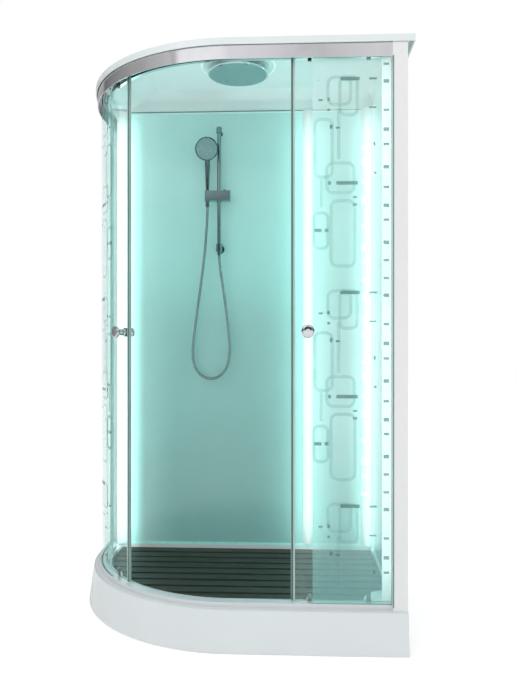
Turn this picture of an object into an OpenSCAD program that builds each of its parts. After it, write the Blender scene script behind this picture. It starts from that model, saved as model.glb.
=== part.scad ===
// Shower cabin with one rounded front corner, two sliding doors, lit walls and a rain head.
// X runs along the back wall, Y from the doors to the back wall and Z up.
// The origin is on the floor, under the foot at the middle of the plan.

/* [Cabin] */
// Width along the back wall
cabin_w = 1200; // [1160:5:1260]
// Depth from the front edge of the tray to the back
cabin_d = 800; // [780:5:860]
// Height from the floor to the crown of the roof
cabin_h = 2150; // [2080:10:2250]
// Plan radius of the rounded corner
corner_r = 600; // [580:5:610]

/* [Tray] */
// Height of the tray rim above the floor
tray_h = 140; // [130:1:170]
// Wall of the moulded tray
tray_t = 4; // [3:0.5:6]
// Width of the rim under the front rail
rim_w = 62; // [60:1:75]
// Depth of the basin below the rim
basin_depth = 62; // [50:1:66]
// Height of the skirt that turns down from the rim
skirt_h = 36; // [20:1:50]
// How far the apron leans out at the floor
apron_flare = 18; // [5:1:25]
// Thickness of the apron
apron_t = 4; // [3:0.5:6]
// Radius of the apron's rounded top edge
apron_round = 6; // [4:0.5:10]
// Gap between the apron and the floor
apron_gap = 3; // [2:0.5:8]
// How far the tray reaches out beyond the roof
tray_out = 8; // [0:1:12]

/* [Deck] */
// Drop from the rim to the top of the deck
deck_drop = 14; // [8:1:24]
// Distance from one slat to the next
slat_pitch = 66.2; // [60:0.2:80]
// Open gap between two slats
slat_gap = 14; // [8:0.5:18]
// Thickness of a slat
slat_t = 18; // [12:1:24]
// Width of a deck bearer
bearer_w = 40; // [25:1:60]
// Clearance between the deck and the basin wall
deck_clear = 3; // [1:0.5:6]

/* [Underframe and feet] */
// Side of the square frame tube
tube_s = 25; // [20:1:30]
// Wall of the frame tube
tube_t = 2; // [1.5:0.5:3]
// Diameter of a foot stud
stud_d = 12; // [8:1:16]
// Diameter of a foot pad
pad_d = 50; // [40:1:70]
// Height of a foot pad
pad_h = 10; // [8:1:16]
// Thickness of a lock nut
nut_h = 8; // [6:1:12]

/* [Waste] */
// Distance of the waste from the origin along X
waste_x = -160; // [-200:5:-120]
// Distance of the waste from the origin along Y
waste_y = 65; // [30:5:100]
// Outside diameter of the trap body
trap_d = 110; // [100:1:120]
// Hole in the tray for the waste
waste_hole_d = 90; // [85:1:94]
// Outside diameter of the outlet pipe
outlet_d = 40; // [32:1:44]

/* [Rails] */
// Set-back of the bottom rail from the tray edge
rail_set = 18; // [12:1:20]
// Width of the bottom rail, front to back
rail_w = 38.5; // [38.5:0.5:42]
// Height of the bottom rail
rail_h = 16; // [14:1:20]
// Set-back of the top rail from the tray edge
head_set = 7; // [6:1:12]
// Height of the top rail
head_h = 66; // [60:1:75]
// Wall of the rail sections
rail_t = 2.5; // [1.5:0.25:2.5]

/* [Glass] */
// Thickness of every pane
glass_t = 5; // [4:0.5:6]
// Set-back of the fixed panes' outer face
fixed_set = 22; // [21.5:0.5:22.5]
// Set-back of the doors' outer face
door_set = 38; // [37:0.5:39]

/* [Doors] */
// How far the half-open right door shows beside its fixed pane
right_show = 73; // [70:1:110]
// The same on the rounded side
left_show = 102.6; // [95:0.2:130]
// Space from the half-open right door's trailing edge to the side of the tray
right_rest = 40.6; // [40:0.1:60]
// Space from the half-open left door's trailing edge to the left post
left_rest = 67; // [60:1:90]
// Distance of the closed doors' meeting line from the corner's centre, towards the corner
meet_off = 48; // [30:1:70]
// Gap between the two leading seals when closed
meet_gap = 1.2; // [0.8:0.1:3]
// Overlap of a closed door behind its fixed pane
door_lap = 19; // [15:1:25]
// Width of the leading seal beyond the glass edge
seal_w = 8; // [6:0.5:9]
// Wall of the leading seal over the glass
seal_t = 2.5; // [1.5:0.5:3]
// Width of the trailing fin seal beyond the glass edge
fin_w = 6; // [4:0.5:8]

/* [Door knobs] */
// Height of the knobs above the floor
knob_z = 1075; // [950:5:1150]
// Distance of the knob from the leading seal
knob_in = 57; // [50:1:80]
// The same distance on the rounded door
knob_in_left = 31; // [28:1:60]
// Diameter of the knob's face
knob_d = 45; // [36:1:48]
// Diameter of the knob's stem
knob_stem_d = 29; // [22:1:30]
// Length of the outer knob
knob_len = 45; // [40:1:55]
// Length of the inner knob
knob_in_len = 27; // [24:1:32]
// Diameter of the bolt through the glass
knob_bolt_d = 8; // [6:1:10]
// Thickness of a knob gasket
gasket_t = 2; // [1:0.5:3]

/* [Rollers] */
// Diameter of a lower roller
low_roller_d = 21; // [18:0.5:22]
// Diameter of an upper roller
top_roller_d = 24; // [20:0.5:25]
// Width of a roller
roller_w = 6.6; // [5:0.2:7]
// Diameter of a roller's axle
axle_d = 5; // [4:0.5:6]
// Radial clearance of a roller on its axle
axle_clear = 0.05; // [0.03:0.01:0.1]
// Distance of a door's front rollers from its leading seal
roller_front = 64; // [50:1:90]
// Distance of the right door's rear rollers from its trailing edge
roller_rear = 85.4; // [70:0.1:120]
// Distance between the left door's front and rear rollers
roller_span = 200; // [160:1:230]
// Depth of the groove that the lower rollers run in
groove_depth = 6; // [4:0.5:8]

/* [Posts] */
// Width of the right post
post_w = 50; // [46:1:54]
// Set-back of the right post's face
post_set = 6; // [4:1:8]
// Wall of the posts
post_t = 3; // [2:0.5:4]
// Width of the left post
left_post_w = 32; // [30:1:36]
// Depth of the left post
left_post_d = 48; // [40:1:60]

/* [Walls] */
// Space from the back wall's face to the back of the tray
back_set = 85; // [80:1:95]
// Space from the right wall's face to the side of the tray
side_set = 35; // [30:1:40]
// Thickness of a wall sheet
wall_t = 4; // [3:0.5:6]
// Depth of the folded edge behind a wall sheet
fold_d = 22; // [15:1:28]
// Width of the second back wall sheet
joint_w = 277; // [250:1:300]
// Height of the trim along the wall foot
foot_trim_h = 10; // [6:1:16]
// Thickness of that trim
foot_trim_t = 4; // [3:0.5:5]

/* [Light columns] */
// Radius of a corner column
light_r = 41; // [36:1:44]
// Wall of the clear cover
light_t = 2; // [1.5:0.5:3]
// Base strip behind a column
light_base_t = 2; // [1.5:0.5:3]
// Width of the lamp tape
tape_w = 10; // [8:1:14]
// Thickness of the lamp tape
tape_t = 1.5; // [1:0.5:2]

/* [Roof] */
// Height of the roof's lip over the top rail
lip_h = 23; // [16:1:30]
// Wall of the roof
roof_t = 4; // [3:0.5:5]
// Overhang of the roof on the right
roof_over = 24; // [10:1:30]
// Step from the lip to the dome
dome_set = 16; // [12:1:20]
// Distance over which the dome rises to its full height
dome_run = 230; // [200:5:260]
// Radius of the ceiling's cove above the walls
cove_r = 45; // [25:1:60]

/* [Rain head] */
// Diameter of the rain head
rain_d = 240; // [200:5:260]
// Distance of the rain head from the origin along Y
rain_y = 40; // [20:5:60]
// Drop of the rain head's face below the ceiling
rain_drop = 34; // [30:1:45]
// Thickness of the spray plate
rain_plate_t = 3; // [2:0.5:4]
// Rings of nozzles round the middle one
nozzle_rings = 6; // [3:1:7]
// Diameter of a nozzle
nozzle_d = 5; // [4:0.5:7]

/* [Hand shower] */
// Distance of the slide rail from the origin along X
bar_x = -100; // [-130:5:-80]
// Distance from the top of the wall to the top of the slide rail
bar_drop = 83; // [70:1:110]
// Length of the slide rail
bar_len = 526; // [500:2:560]
// Diameter of the slide rail
bar_d = 18; // [16:1:22]
// Distance of the slide rail from the wall
bar_off = 50; // [45:1:60]
// Height of the slider's middle above the rail's lower end
slider_up = 225; // [215:1:240]
// Width of the slider block
slider_w = 111; // [104:1:118]
// Height of the slider block
slider_h = 42; // [36:1:50]
// Depth of the slider block
slider_d = 34; // [30:1:40]
// Distance from the rail to the handset's cradle
cradle_in = 51; // [48:1:56]
// Diameter of the spray head
head_d = 100; // [80:1:110]
// Height of the spray head's middle above the slider's middle
head_up = 199; // [190:1:215]
// Lean of the spray head towards the user
head_lean = 10; // [0:1:20]
// Diameter of the handle at its foot
handle_d = 14; // [12:1:15]
// Diameter of the handle below the head
handle_top_d = 26; // [20:1:30]
// Outside diameter of the hose
hose_d = 12; // [10:1:13]

/* [Mixer] */
// Height of the mixer's middle
mixer_z = 1050; // [950:10:1150]
// Distance of the mixer from the front edge
mixer_in = 138; // [130:1:160]
// Distance between the lever and the diverter
mixer_span = 90; // [80:1:110]
// Diameter of the mixer's controls
control_d = 40; // [34:1:42]
// Length of the controls
control_len = 24; // [18:1:26]
// Diameter of the inlet ends
inlet_d = 21; // [18:0.5:22]
// Diameter of the feed pipes
feed_d = 11; // [8:0.5:11]

/* [Hidden] */
$fn = 48;

// Running clearance between pieces that don't touch, and a seat where they nearly do
run = 0.8;
seat = 0.3;
// Overlap that lets two shapes of one solid fuse, and overshoot of a cut
fuse = 2;
cut = 1;

// Plan: edges of the tray and the centre of its rounded corner
left_x = -cabin_w / 2;
right_x = cabin_w / 2;
front_y = -cabin_d / 2;
back_y = cabin_d / 2;
arc_x = left_x + corner_r;
arc_y = front_y + corner_r;

// Inside faces of the walls
wall_y = back_y - back_set;
wall_x = right_x - side_set;
joint_x = wall_x - joint_w;
left_post_y = wall_y - 24;
mixer_y = front_y + mixer_in;

// Heights
rail_top = tray_h + rail_h;
head_top = cabin_h - 90;
head_low = head_top - head_h;
ceiling_z = cabin_h - roof_t;
deck_top = tray_h - deck_drop;
basin_z = tray_h - basin_depth;
frame_top = basin_z - tray_t;
frame_low = frame_top - tube_s;

// Depths of the rails' slots and tracks, as set-backs from the tray edge
slot_clear = 0.5;
rail_back = rail_set + rail_w;
slot_out = fixed_set - slot_clear;
slot_in = fixed_set + glass_t + slot_clear;
door_back = door_set + glass_t;
arm_t = 3;
arm_gap = 0.3;
roller_out = door_back + arm_gap + arm_t + run;
roller_in = roller_out + roller_w;
groove_out = roller_out - run;
groove_in = roller_in + run;
axle_head_t = 1.6;
axle_head_d = axle_d + 3;
lip = 2;

// Door glass: heights and ends
door_low = rail_top + 3;
door_top = head_low + 20;
fixed_low = tray_h + rail_t + seat;
fixed_top = head_top - rail_t - 2;
door_r = corner_r - door_set - glass_t / 2;
meet_x = arc_x - meet_off;
fixed_edge_x = (right_x - right_rest + right_show - door_lap + meet_x + meet_gap / 2) / 2;
right_len = fixed_edge_x + door_lap - meet_x - meet_gap / 2;
right_open_x = right_x - right_rest - right_len;
right_glass_x0 = right_open_x + seal_w;
right_glass_x1 = right_open_x + right_len - fin_w;
right_travel = right_open_x - meet_x - meet_gap / 2;
left_meet_a = asin((arc_x - meet_x + meet_gap / 2) / door_r);
left_end_a = 90 + asin((left_post_y - left_rest - arc_y) / door_r);
fixed_edge_a = (left_end_a + left_meet_a + arc_deg(left_show - door_lap)) / 2;
left_travel_a = left_end_a - fixed_edge_a - arc_deg(door_lap);
left_open_a = left_meet_a + left_travel_a;
left_glass_a0 = left_open_a + arc_deg(seal_w);
left_glass_a1 = left_end_a - arc_deg(fin_w);

// Rollers: height of their axles
low_axle_z = rail_top - groove_depth + low_roller_d / 2 + seat;
track_z = head_low + 14;
track_t = 3;
top_axle_z = track_z + track_t + top_roller_d / 2 + seat;
carrier_w = 14;
carrier_bolt_d = 8;
low_carrier_z = low_axle_z + 19;
top_carrier_z = head_low + 9;
right_rollers = [right_open_x + roller_front, right_open_x + right_len - roller_rear];
left_front_a = left_open_a + arc_deg(roller_front + 26);
left_rollers = [left_front_a, left_front_a + arc_deg(roller_span)];
knob_x = right_open_x + knob_in;
knob_a = left_open_a + arc_deg(knob_in_left);

// Light columns: a little short of the ceiling, standing on the tray's rim behind the trim
light_z0 = tray_h + foot_trim_h + seat;
light_z1 = head_top - seat;
front_light_y = front_y + rail_back + 8;
// The rails' tracks end short of the corner column on the left
track_end_y = wall_y - light_base_t - light_r - 3;

// Hand shower
bar_z0 = head_top - bar_drop - bar_len;
bar_y = wall_y - bar_off;
slider_z = bar_z0 + slider_up;
cradle_x = bar_x - cradle_in;
cradle_y = bar_y - 4;
cradle_r = handle_d / 2 + 3.5;
handle_z0 = slider_z - slider_h / 2 - 12;
head_z = slider_z + head_up;
head_y = cradle_y - 22;
head_t = 14;
outlet_z = bar_z0 - 2;
hose_nut_l = 14;
hose_r = hose_d / 2;

// Route of the hose: down from the handset's nut to the bottom of the loop, then up to the outlet.
// Each half is measured from its own end.
hose_down = [
    [0, 0, 0], [0, 0, -26], [-2, 0, -70], [-6, 0, -130], [-12, 1, -200], [-21, 2, -280], [-33, 4, -370],
    [-46, 6, -460], [-58, 8, -550], [-64, 9, -610], [-65, 10, -650], [-58, 10, -692], [-42, 10, -722],
    [-20, 10, -741], [6, 10, -749]];
hose_up = [
    [-17, 6, -537], [9, 6, -522], [29, 5, -496], [41, 5, -462], [46, 4, -420], [45, 3, -370], [37, 2, -290],
    [27, 2, -210], [17, 1, -140], [8, 1, -80], [2, 0, -28], [0, 0, 0]];

function arc_deg(len) = len / door_r * 180 / PI;
function polar(r, a) = [arc_x - r * sin(a), arc_y - r * cos(a)];

// Plan of the cabin, its front and left edges moved out by out, the back by back, the right by side
module plan(out, back, side) {
    lap = 50;
    translate([arc_x, arc_y])
        intersection() {
            circle(corner_r + out, $fn = 96);
            translate([-corner_r - out, -corner_r - out]) square(corner_r + out + lap);
        }
    translate([arc_x, front_y - out]) square([right_x - arc_x + side, cabin_d + out + back]);
    translate([left_x - out, arc_y]) square([arc_x - left_x + out, back_y - arc_y + back]);
}

// Carries a section along the left side, round the corner and along the front.
// In the section X is the distance outside the tray edge and Y is the height.
module along_front(x_end, y_end) {
    along_arc(0, 90) children();
    along_straight(x_end) children();
    along_left(y_end) children();
}

// The same section along the straight left side only
module along_left(y_end, y_start = arc_y) {
    translate([left_x, y_end, 0]) rotate([90, 0, 0])
        linear_extrude(y_end - y_start) mirror([1, 0]) children();
}

// The same section along the straight front only
module along_straight(x_end, x_start = arc_x) {
    translate([x_start, front_y, 0]) rotate([90, 0, 90])
        linear_extrude(x_end - x_start) mirror([1, 0]) children();
}

// The same section round the corner only, between two angles from straight ahead
module along_arc(a0, a1) {
    translate([arc_x, arc_y, 0]) rotate([0, 0, 270 - a1])
        rotate_extrude(angle = a1 - a0, $fn = 96) translate([corner_r, 0]) children();
}

// Rectangle of a section, from set-back s0 to set-back s1 and from height z0 to height z1
module band(s0, s1, z0, z1) {
    translate([-s1, z0]) square([s1 - s0, z1 - z0]);
}

// Turns a shape drawn on the front straight, with X along the door and Y outwards to -Y,
// so that it stands at an angle round the corner
module on_arc(a) {
    translate([arc_x, arc_y, 0]) rotate([0, 0, -a]) translate([0, -corner_r, 0]) children();
}
module on_front(x) {
    translate([x, front_y, 0]) children();
}

// Cylinder along Y, from set-back s0 to set-back s1, in the frame of on_arc and on_front
module across(d, s0, s1, z) {
    translate([0, s1, z]) rotate([90, 0, 0]) cylinder(d = d, h = s1 - s0);
}

module box(x0, x1, y0, y1, z0, z1) {
    translate([x0, y0, z0]) cube([x1 - x0, y1 - y0, z1 - z0]);
}

// Tray

module tray_shell() {
    color("gainsboro")
    difference() {
        union() {
            // rim and the skirt that turns down from it
            difference() {
                translate([0, 0, tray_h - skirt_h]) linear_extrude(skirt_h)
                    plan(tray_out - apron_t - seat, 0, 0);
                translate([0, 0, tray_h - skirt_h - cut]) linear_extrude(skirt_h + cut - tray_t)
                    plan(tray_out - apron_t - seat - tray_t, -tray_t, -tray_t);
            }
            // basin
            translate([0, 0, basin_z - tray_t]) linear_extrude(basin_depth + tray_t - fuse / 2)
                plan(tray_t - rim_w, tray_t - basin_back, tray_t - basin_side);
        }
        translate([0, 0, basin_z]) linear_extrude(basin_depth + cut) plan(-rim_w, -basin_back, -basin_side);
        translate([waste_x, waste_y, basin_z - tray_t - cut])
            cylinder(d = waste_hole_d, h = tray_t + 2 * cut);
    }
}
basin_back = back_set + foot_trim_t;
basin_side = side_set + foot_trim_t;

module tray_apron() {
    color("whitesmoke")
    along_front(right_x, back_y) translate([tray_out, 0]) apron_section();
}
module apron_section() {
    top = tray_h - apron_round;
    polygon([[0, top], [apron_flare, apron_gap], [apron_flare - apron_t, apron_gap], [-apron_t, top]]);
    intersection() {
        translate([-apron_round, top]) circle(apron_round);
        translate([-apron_t, top]) square([apron_t, apron_round]);
    }
}

module deck_slats() {
    count = floor((cabin_d - rim_w - basin_back) / slat_pitch) + 1;
    color("dimgray")
    translate([0, 0, deck_top - slat_t]) linear_extrude(slat_t)
        intersection() {
            plan(-rim_w - deck_clear, -basin_back - deck_clear, -basin_side - deck_clear);
            for (i = [0 : count])
                translate([left_x, wall_y - foot_trim_t - deck_clear - (i + 1) * slat_pitch + slat_gap])
                    square([cabin_w, slat_pitch - slat_gap]);
        }
}

module deck_bearers() {
    color("dimgray")
    for (x = [waste_x - 100, frame_x[1] - 40, frame_x[1] + 190, frame_x[2] - 60])
        translate([0, 0, basin_z]) linear_extrude(deck_top - slat_t - basin_z)
            intersection() {
                plan(-rim_w - deck_clear - bearer_w, -basin_back - deck_clear - bearer_w, 0);
                translate([x, front_y]) square([bearer_w, cabin_d]);
            }
}

// Underframe and feet. The cross tubes stand at frame_x, the long tubes at frame_y.
frame_x = [left_x + 280, 0, right_x - 80];
frame_y = [front_y + 230, back_y - 100];
// How far the long back tube goes on to the left, and the cross tubes towards the doors
frame_reach = 180;
frame_nose = 140;
feet = [
    [frame_x[0], frame_y[0]], [frame_x[0] - frame_reach, frame_y[1]],
    [frame_x[1], frame_y[0] - frame_nose], [0, 0], [frame_x[1], frame_y[1]],
    [frame_x[2], frame_y[0] - frame_nose], [frame_x[2], frame_y[1]]];

module square_tube(len) {
    translate([0, -tube_s / 2, 0]) difference() {
        cube([len, tube_s, tube_s]);
        translate([-cut, tube_t, tube_t]) cube([len + 2 * cut, tube_s - 2 * tube_t, tube_s - 2 * tube_t]);
    }
}
module underframe() {
    color("silver")
    translate([0, 0, frame_low]) {
        difference() {
            union() {
                translate([frame_x[0] - tube_s / 2, frame_y[0], 0])
                    square_tube(frame_x[2] - frame_x[0] + tube_s);
                translate([frame_x[0] - frame_reach - pad_d / 2, frame_y[1], 0])
                    square_tube(frame_x[2] - frame_x[0] + frame_reach + pad_d / 2 + tube_s);
                translate([frame_x[0], frame_y[0] + tube_s / 2, 0]) rotate([0, 0, 90])
                    square_tube(frame_y[1] - frame_y[0] - tube_s);
                for (x = [frame_x[1], frame_x[2]]) {
                    translate([x, frame_y[0] + tube_s / 2, 0]) rotate([0, 0, 90])
                        square_tube(frame_y[1] - frame_y[0] - tube_s);
                    translate([x, frame_y[0] - frame_nose - pad_d / 2, 0]) rotate([0, 0, 90])
                        square_tube(frame_nose + pad_d / 2 - tube_s / 2);
                }
            }
            for (p = feet) translate([p[0], p[1], -cut]) cylinder(d = stud_d + 1, h = tube_t + 2 * cut);
        }
    }
}

module foot_studs() {
    color("silver")
    for (p = feet) translate([p[0], p[1], 0]) {
        translate([0, 0, pad_h]) cylinder(d = stud_d, h = frame_low + tube_s - tube_t - pad_h - seat);
        translate([0, 0, pad_h]) cylinder(d = stud_d * 1.8, h = nut_h, $fn = 6);
        translate([0, 0, frame_low - nut_h]) cylinder(d = stud_d * 1.8, h = nut_h, $fn = 6);
    }
}

module foot_pads() {
    color("black")
    for (p = feet) translate([p[0], p[1], 0]) {
        rim = 3;
        cylinder(d = pad_d, h = rim);
        translate([0, 0, rim]) cylinder(d1 = pad_d, d2 = pad_d * 0.6, h = pad_h - rim, $fn = 48);
    }
}

// Waste

module waste_body() {
    low = 5;
    flange_d = waste_hole_d - 4;
    color("whitesmoke")
    translate([waste_x, waste_y, 0]) difference() {
        union() {
            translate([0, 0, low]) cylinder(d = trap_d, h = frame_top - seat - low);
            translate([0, 0, frame_top - seat - fuse])
                cylinder(d = flange_d, h = basin_z - frame_top + seat + fuse);
            translate([0, 0, outlet_axis_z]) rotate([-90, 0, 0])
                cylinder(d = outlet_d + 8, h = trap_d / 2 + 16);
        }
        translate([0, 0, low + 3]) cylinder(d = flange_d - 6, h = basin_z);
        translate([0, trap_d / 2 - 12, outlet_axis_z]) rotate([-90, 0, 0])
            cylinder(d = outlet_d - 1.4, h = 40);
        translate([0, 0, outlet_axis_z]) rotate([-90, 0, 0]) cylinder(d = outlet_d - 6, h = trap_d / 2);
    }
}
outlet_axis_z = outlet_d / 2 + 6;
// Length of the free end that takes a sleeve
spigot_l = 50;

module waste_cover() {
    rim = 8;
    color("silver")
    translate([waste_x, waste_y, basin_z]) difference() {
        union() {
            cylinder(d = waste_hole_d + 2 * rim, h = 2);
            translate([0, 0, 2]) cylinder(d = waste_hole_d - 14, h = 3);
        }
        for (i = [0 : 7]) rotate([0, 0, i * 45]) translate([waste_hole_d / 2 - 3.5, 0, -cut])
            cylinder(d = 6, h = 2 + 4 * cut, $fn = 24);
    }
}

module waste_outlet() {
    start = waste_y + trap_d / 2 - 11;
    color("whitesmoke")
    translate([waste_x, start, outlet_axis_z]) rotate([-90, 0, 0]) difference() {
        union() {
            cylinder(d = outlet_d - 2, h = back_y - start);
            translate([0, 0, back_y - start - spigot_l]) cylinder(d = outlet_d, h = spigot_l);
        }
        translate([0, 0, -cut]) cylinder(d = outlet_d - 6, h = back_y - start + 2 * cut);
    }
}

// Rails. Each is one extrusion: a slot for the fixed panes and a track for the rollers.

module bottom_rail() {
    color("gainsboro") difference() {
        union() {
            along_front(right_x - post_w, track_end_y) bottom_rail_section();
            along_left(left_post_y, track_end_y) band(rail_set, slot_in + lip, tray_h, rail_top);
        }
        // slots for the fixed panes
        along_arc(fixed_edge_a - arc_deg(run), 90) pane_slot();
        along_left(left_post_y + cut) pane_slot();
        along_straight(right_x - post_w + cut, fixed_edge_x - run) pane_slot();
    }
}
module bottom_rail_section() {
    difference() {
        band(rail_set, rail_back, tray_h, rail_top);
        band(slot_in + lip, groove_out - lip, tray_h + rail_t, rail_top - lip);
        band(groove_out, groove_in, rail_top - groove_depth, rail_top + cut);
    }
}
module pane_slot() {
    band(slot_out, slot_in, tray_h + rail_t, rail_top + cut);
}

module top_rail() {
    color("silver") {
        along_front(right_x - post_w, track_end_y) {
            top_rail_front();
            top_rail_track();
        }
        along_left(left_post_y, track_end_y) top_rail_front();
    }
}
// Front plate, top plate and the two lips that hold the fixed panes
module top_rail_front() {
    slot_low = head_top - 40;
    band(head_set, head_set + rail_t, head_low, head_top);
    band(head_set, slot_in + lip, head_top - rail_t, head_top);
    band(slot_out - lip, slot_out, slot_low, head_top);
    band(slot_in, slot_in + lip, slot_low, head_top);
}
// Hanger and flange that the upper rollers run on
module top_rail_track() {
    wall = rail_back + 1;
    band(slot_in, wall + lip, head_top - rail_t, head_top);
    band(wall, wall + lip, track_z, head_top);
    band(groove_out + seat, wall + lip, track_z, track_z + track_t);
}

// Posts

module left_post() {
    x0 = left_x + fixed_set - slot_clear - post_t - 4;
    color("gainsboro")
    translate([0, 0, tray_h]) linear_extrude(head_top - tray_h) difference() {
        translate([x0, left_post_y]) square([left_post_w, left_post_d]);
        translate([left_x + slot_out, left_post_y - cut]) square([slot_in - slot_out, 14 + cut]);
        translate([x0 + post_t, left_post_y + 14 + post_t])
            square([left_post_w - 2 * post_t, left_post_d - 14 - 2 * post_t]);
    }
}

module right_post() {
    y0 = front_y + post_set;
    x0 = right_x - post_w;
    color("white")
    translate([0, 0, tray_h]) linear_extrude(head_top - tray_h) difference() {
        union() {
            translate([x0, y0]) square([post_w, post_t]);
            translate([right_x - post_t, y0]) square([post_t, rail_back - post_set + 2]);
            translate([x0, y0]) square([10, slot_in + lip - post_set]);
        }
        translate([x0 - cut, front_y + slot_out]) square([6.5 + cut, slot_in - slot_out]);
    }
}

// Panes

module left_fixed_glass() {
    color("paleturquoise", 0.4) {
        along_arc(fixed_edge_a, 90) fixed_section();
        along_left(left_post_y + 12) fixed_section();
    }
}
module fixed_section() {
    band(fixed_set, fixed_set + glass_t, fixed_low, fixed_top);
}

module right_fixed_glass() {
    color("paleturquoise", 0.4)
    along_straight(right_x - post_w + 6, fixed_edge_x) fixed_section();
}

// Clear gaskets that close the slots in the posts
module glass_gaskets() {
    z0 = rail_top + seat;
    z1 = head_low - seat;
    w = slot_in + lip - fixed_set - glass_t;
    color("lightgray") {
        box(right_x - post_w - w, right_x - post_w, front_y + fixed_set + glass_t,
            front_y + fixed_set + glass_t + w, z0, z1);
        box(left_x + fixed_set + glass_t, left_x + fixed_set + glass_t + w, left_post_y - w,
            left_post_y, z0, z1);
    }
}

// Walls: a sheet with its edges folded back, stiffened by two ribs

module wall_sheet(w, h) {
    rib = 3;
    bay = (h - 4 * rib) / 3;
    difference() {
        cube([w, fold_d, h]);
        for (i = [0 : 2])
            translate([rib, wall_t, rib + i * (bay + rib)]) cube([w - 2 * rib, fold_d, bay]);
    }
}
wall_left_x = left_x + fixed_set - slot_clear - post_t - 4 + left_post_w;
wall_h = head_top - tray_h;
module back_wall_main() {
    color("mediumaquamarine") difference() {
        translate([wall_left_x, wall_y, tray_h]) wall_sheet(joint_x - wall_left_x, wall_h);
        translate([bar_x, wall_y - cut, outlet_z]) rotate([-90, 0, 0]) cylinder(d = 22, h = fold_d + 2 * cut);
    }
}
module back_wall_side() {
    color("mediumaquamarine")
    translate([joint_x, wall_y, tray_h]) wall_sheet(wall_x - joint_x, wall_h);
}
right_wall_y = front_y + rail_back + 3.5;
module right_wall() {
    color("mediumaquamarine") difference() {
        translate([wall_x, wall_y + fold_d, tray_h]) rotate([0, 0, -90])
            wall_sheet(wall_y + fold_d - right_wall_y, wall_h);
        for (dz = [-1, 1]) translate([wall_x - cut, mixer_y, mixer_z + dz * mixer_span / 2]) rotate([0, 90, 0])
            cylinder(d = 30, h = wall_t + 2 * cut);
        // holes in the ribs and folds for the two feed pipes
        translate([pipe_x, rain_pipe_y, mixer_z + 100]) cylinder(d = feed_d + 3, h = cabin_h - mixer_z);
        translate([pipe_x, hand_pipe_y, mixer_z + 100])
            cylinder(d = feed_d + 3, h = hand_pipe_z - mixer_z - 90);
        translate([pipe_x, wall_y, hand_pipe_z]) rotate([-90, 0, 0])
            cylinder(d = feed_d + 3, h = fold_d + cut);
    }
}

module wall_foot_trim() {
    color("lightcyan") {
        box(wall_left_x, wall_x, wall_y - foot_trim_t, wall_y - seat / 2, tray_h, tray_h + foot_trim_h);
        box(wall_x - foot_trim_t, wall_x - seat / 2, front_light_y, wall_y - foot_trim_t,
            tray_h, tray_h + foot_trim_h);
    }
}

// Light columns: quarter rounds in three corners and a half round on the joint of the back wall

light_w = light_r * 1.05;
light_bulge = 15;
module quarter(r) {
    intersection() {
        circle(r);
        square(r);
    }
}
// Places a column's section: the wall corner at its origin, the room towards +X and +Y
module at_left_corner() {
    translate([wall_left_x, wall_y]) mirror([0, 1]) children();
}
module at_right_corner() {
    translate([wall_x, wall_y]) rotate(180) children();
}
module at_front_corner() {
    translate([wall_x, front_light_y]) mirror([1, 0]) children();
}
module led_diffusers() {
    color("white")
    translate([0, 0, light_z0]) linear_extrude(light_z1 - light_z0) {
        at_left_corner() corner_cover();
        at_right_corner() corner_cover();
        at_front_corner() front_cover();
        translate([joint_x, wall_y - light_base_t]) joint_cover();
    }
}
module corner_cover() {
    translate([light_base_t, light_base_t]) difference() {
        quarter(light_r);
        quarter(light_r - light_t);
    }
}
// The column by the post also shows towards the doors, so its cover has a flat front
module front_cover() {
    difference() {
        translate([light_base_t, 0]) quarter(light_r);
        translate([light_base_t, light_t]) quarter(light_r - 2 * light_t);
    }
}
module joint_cover() {
    r = (light_w * light_w / 4 + light_bulge * light_bulge) / (2 * light_bulge);
    difference() {
        intersection() {
            translate([0, r - light_bulge]) circle(r, $fn = 96);
            translate([-light_w / 2, -light_bulge]) square([light_w, light_bulge]);
        }
        translate([-light_w / 2 + 5, -5]) square([light_w - 10, 5 + cut]);
    }
}
module led_profiles() {
    color("silver")
    translate([0, 0, light_z0]) linear_extrude(light_z1 - light_z0) {
        at_left_corner() corner_base();
        at_right_corner() corner_base();
        at_front_corner() {
            translate([seat / 2, 0]) square([light_base_t - seat / 2, light_r]);
            translate([light_base_t, light_r / 2 - tape_w / 2]) square([tape_t, tape_w]);
        }
        translate([joint_x, wall_y]) {
            translate([-light_w / 2, -light_base_t]) square([light_w, light_base_t - seat / 2]);
            translate([-tape_w / 2, -light_base_t - tape_t]) square([tape_w, tape_t + seat]);
        }
    }
}
module corner_base() {
    translate([seat / 2, seat / 2]) square([light_r + light_base_t, light_base_t - seat / 2]);
    translate([seat / 2, seat / 2]) square([light_base_t - seat / 2, light_r + light_base_t]);
    translate([light_base_t, light_r / 2 - tape_w / 2]) square([tape_t, tape_w]);
}

// Roof: a lip that laps over the top rail, a ledge that rests on it and a domed ceiling

module roof_shell() {
    color("whitesmoke")
    difference() {
        union() {
            // lip and ledge
            translate([0, 0, head_top - lip_h + roof_t]) linear_extrude(lip_h) plan(0, 0, roof_over);
            dome(roof_t, cabin_h, 0);
        }
        translate([0, 0, head_top - lip_h + roof_t - cut]) linear_extrude(lip_h + cut - roof_t)
            plan(-roof_t, cut, roof_over - roof_t);
        dome(0, ceiling_z, cut);
        // holes for the rain head's tail, the cable to the lamps and the feed pipe
        translate([0, rain_y, ceiling_z - cut]) cylinder(d = rain_tail_d + 1, h = roof_t + 2 * cut);
        translate([driver_x, driver_y + 45, ceiling_z - cut]) cylinder(d = 12, h = roof_t + 2 * cut);
        translate([pipe_x, rain_pipe_y, head_top - cut]) cylinder(d = feed_d + 3, h = roof_t + 2 * cut);
    }
}
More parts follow.
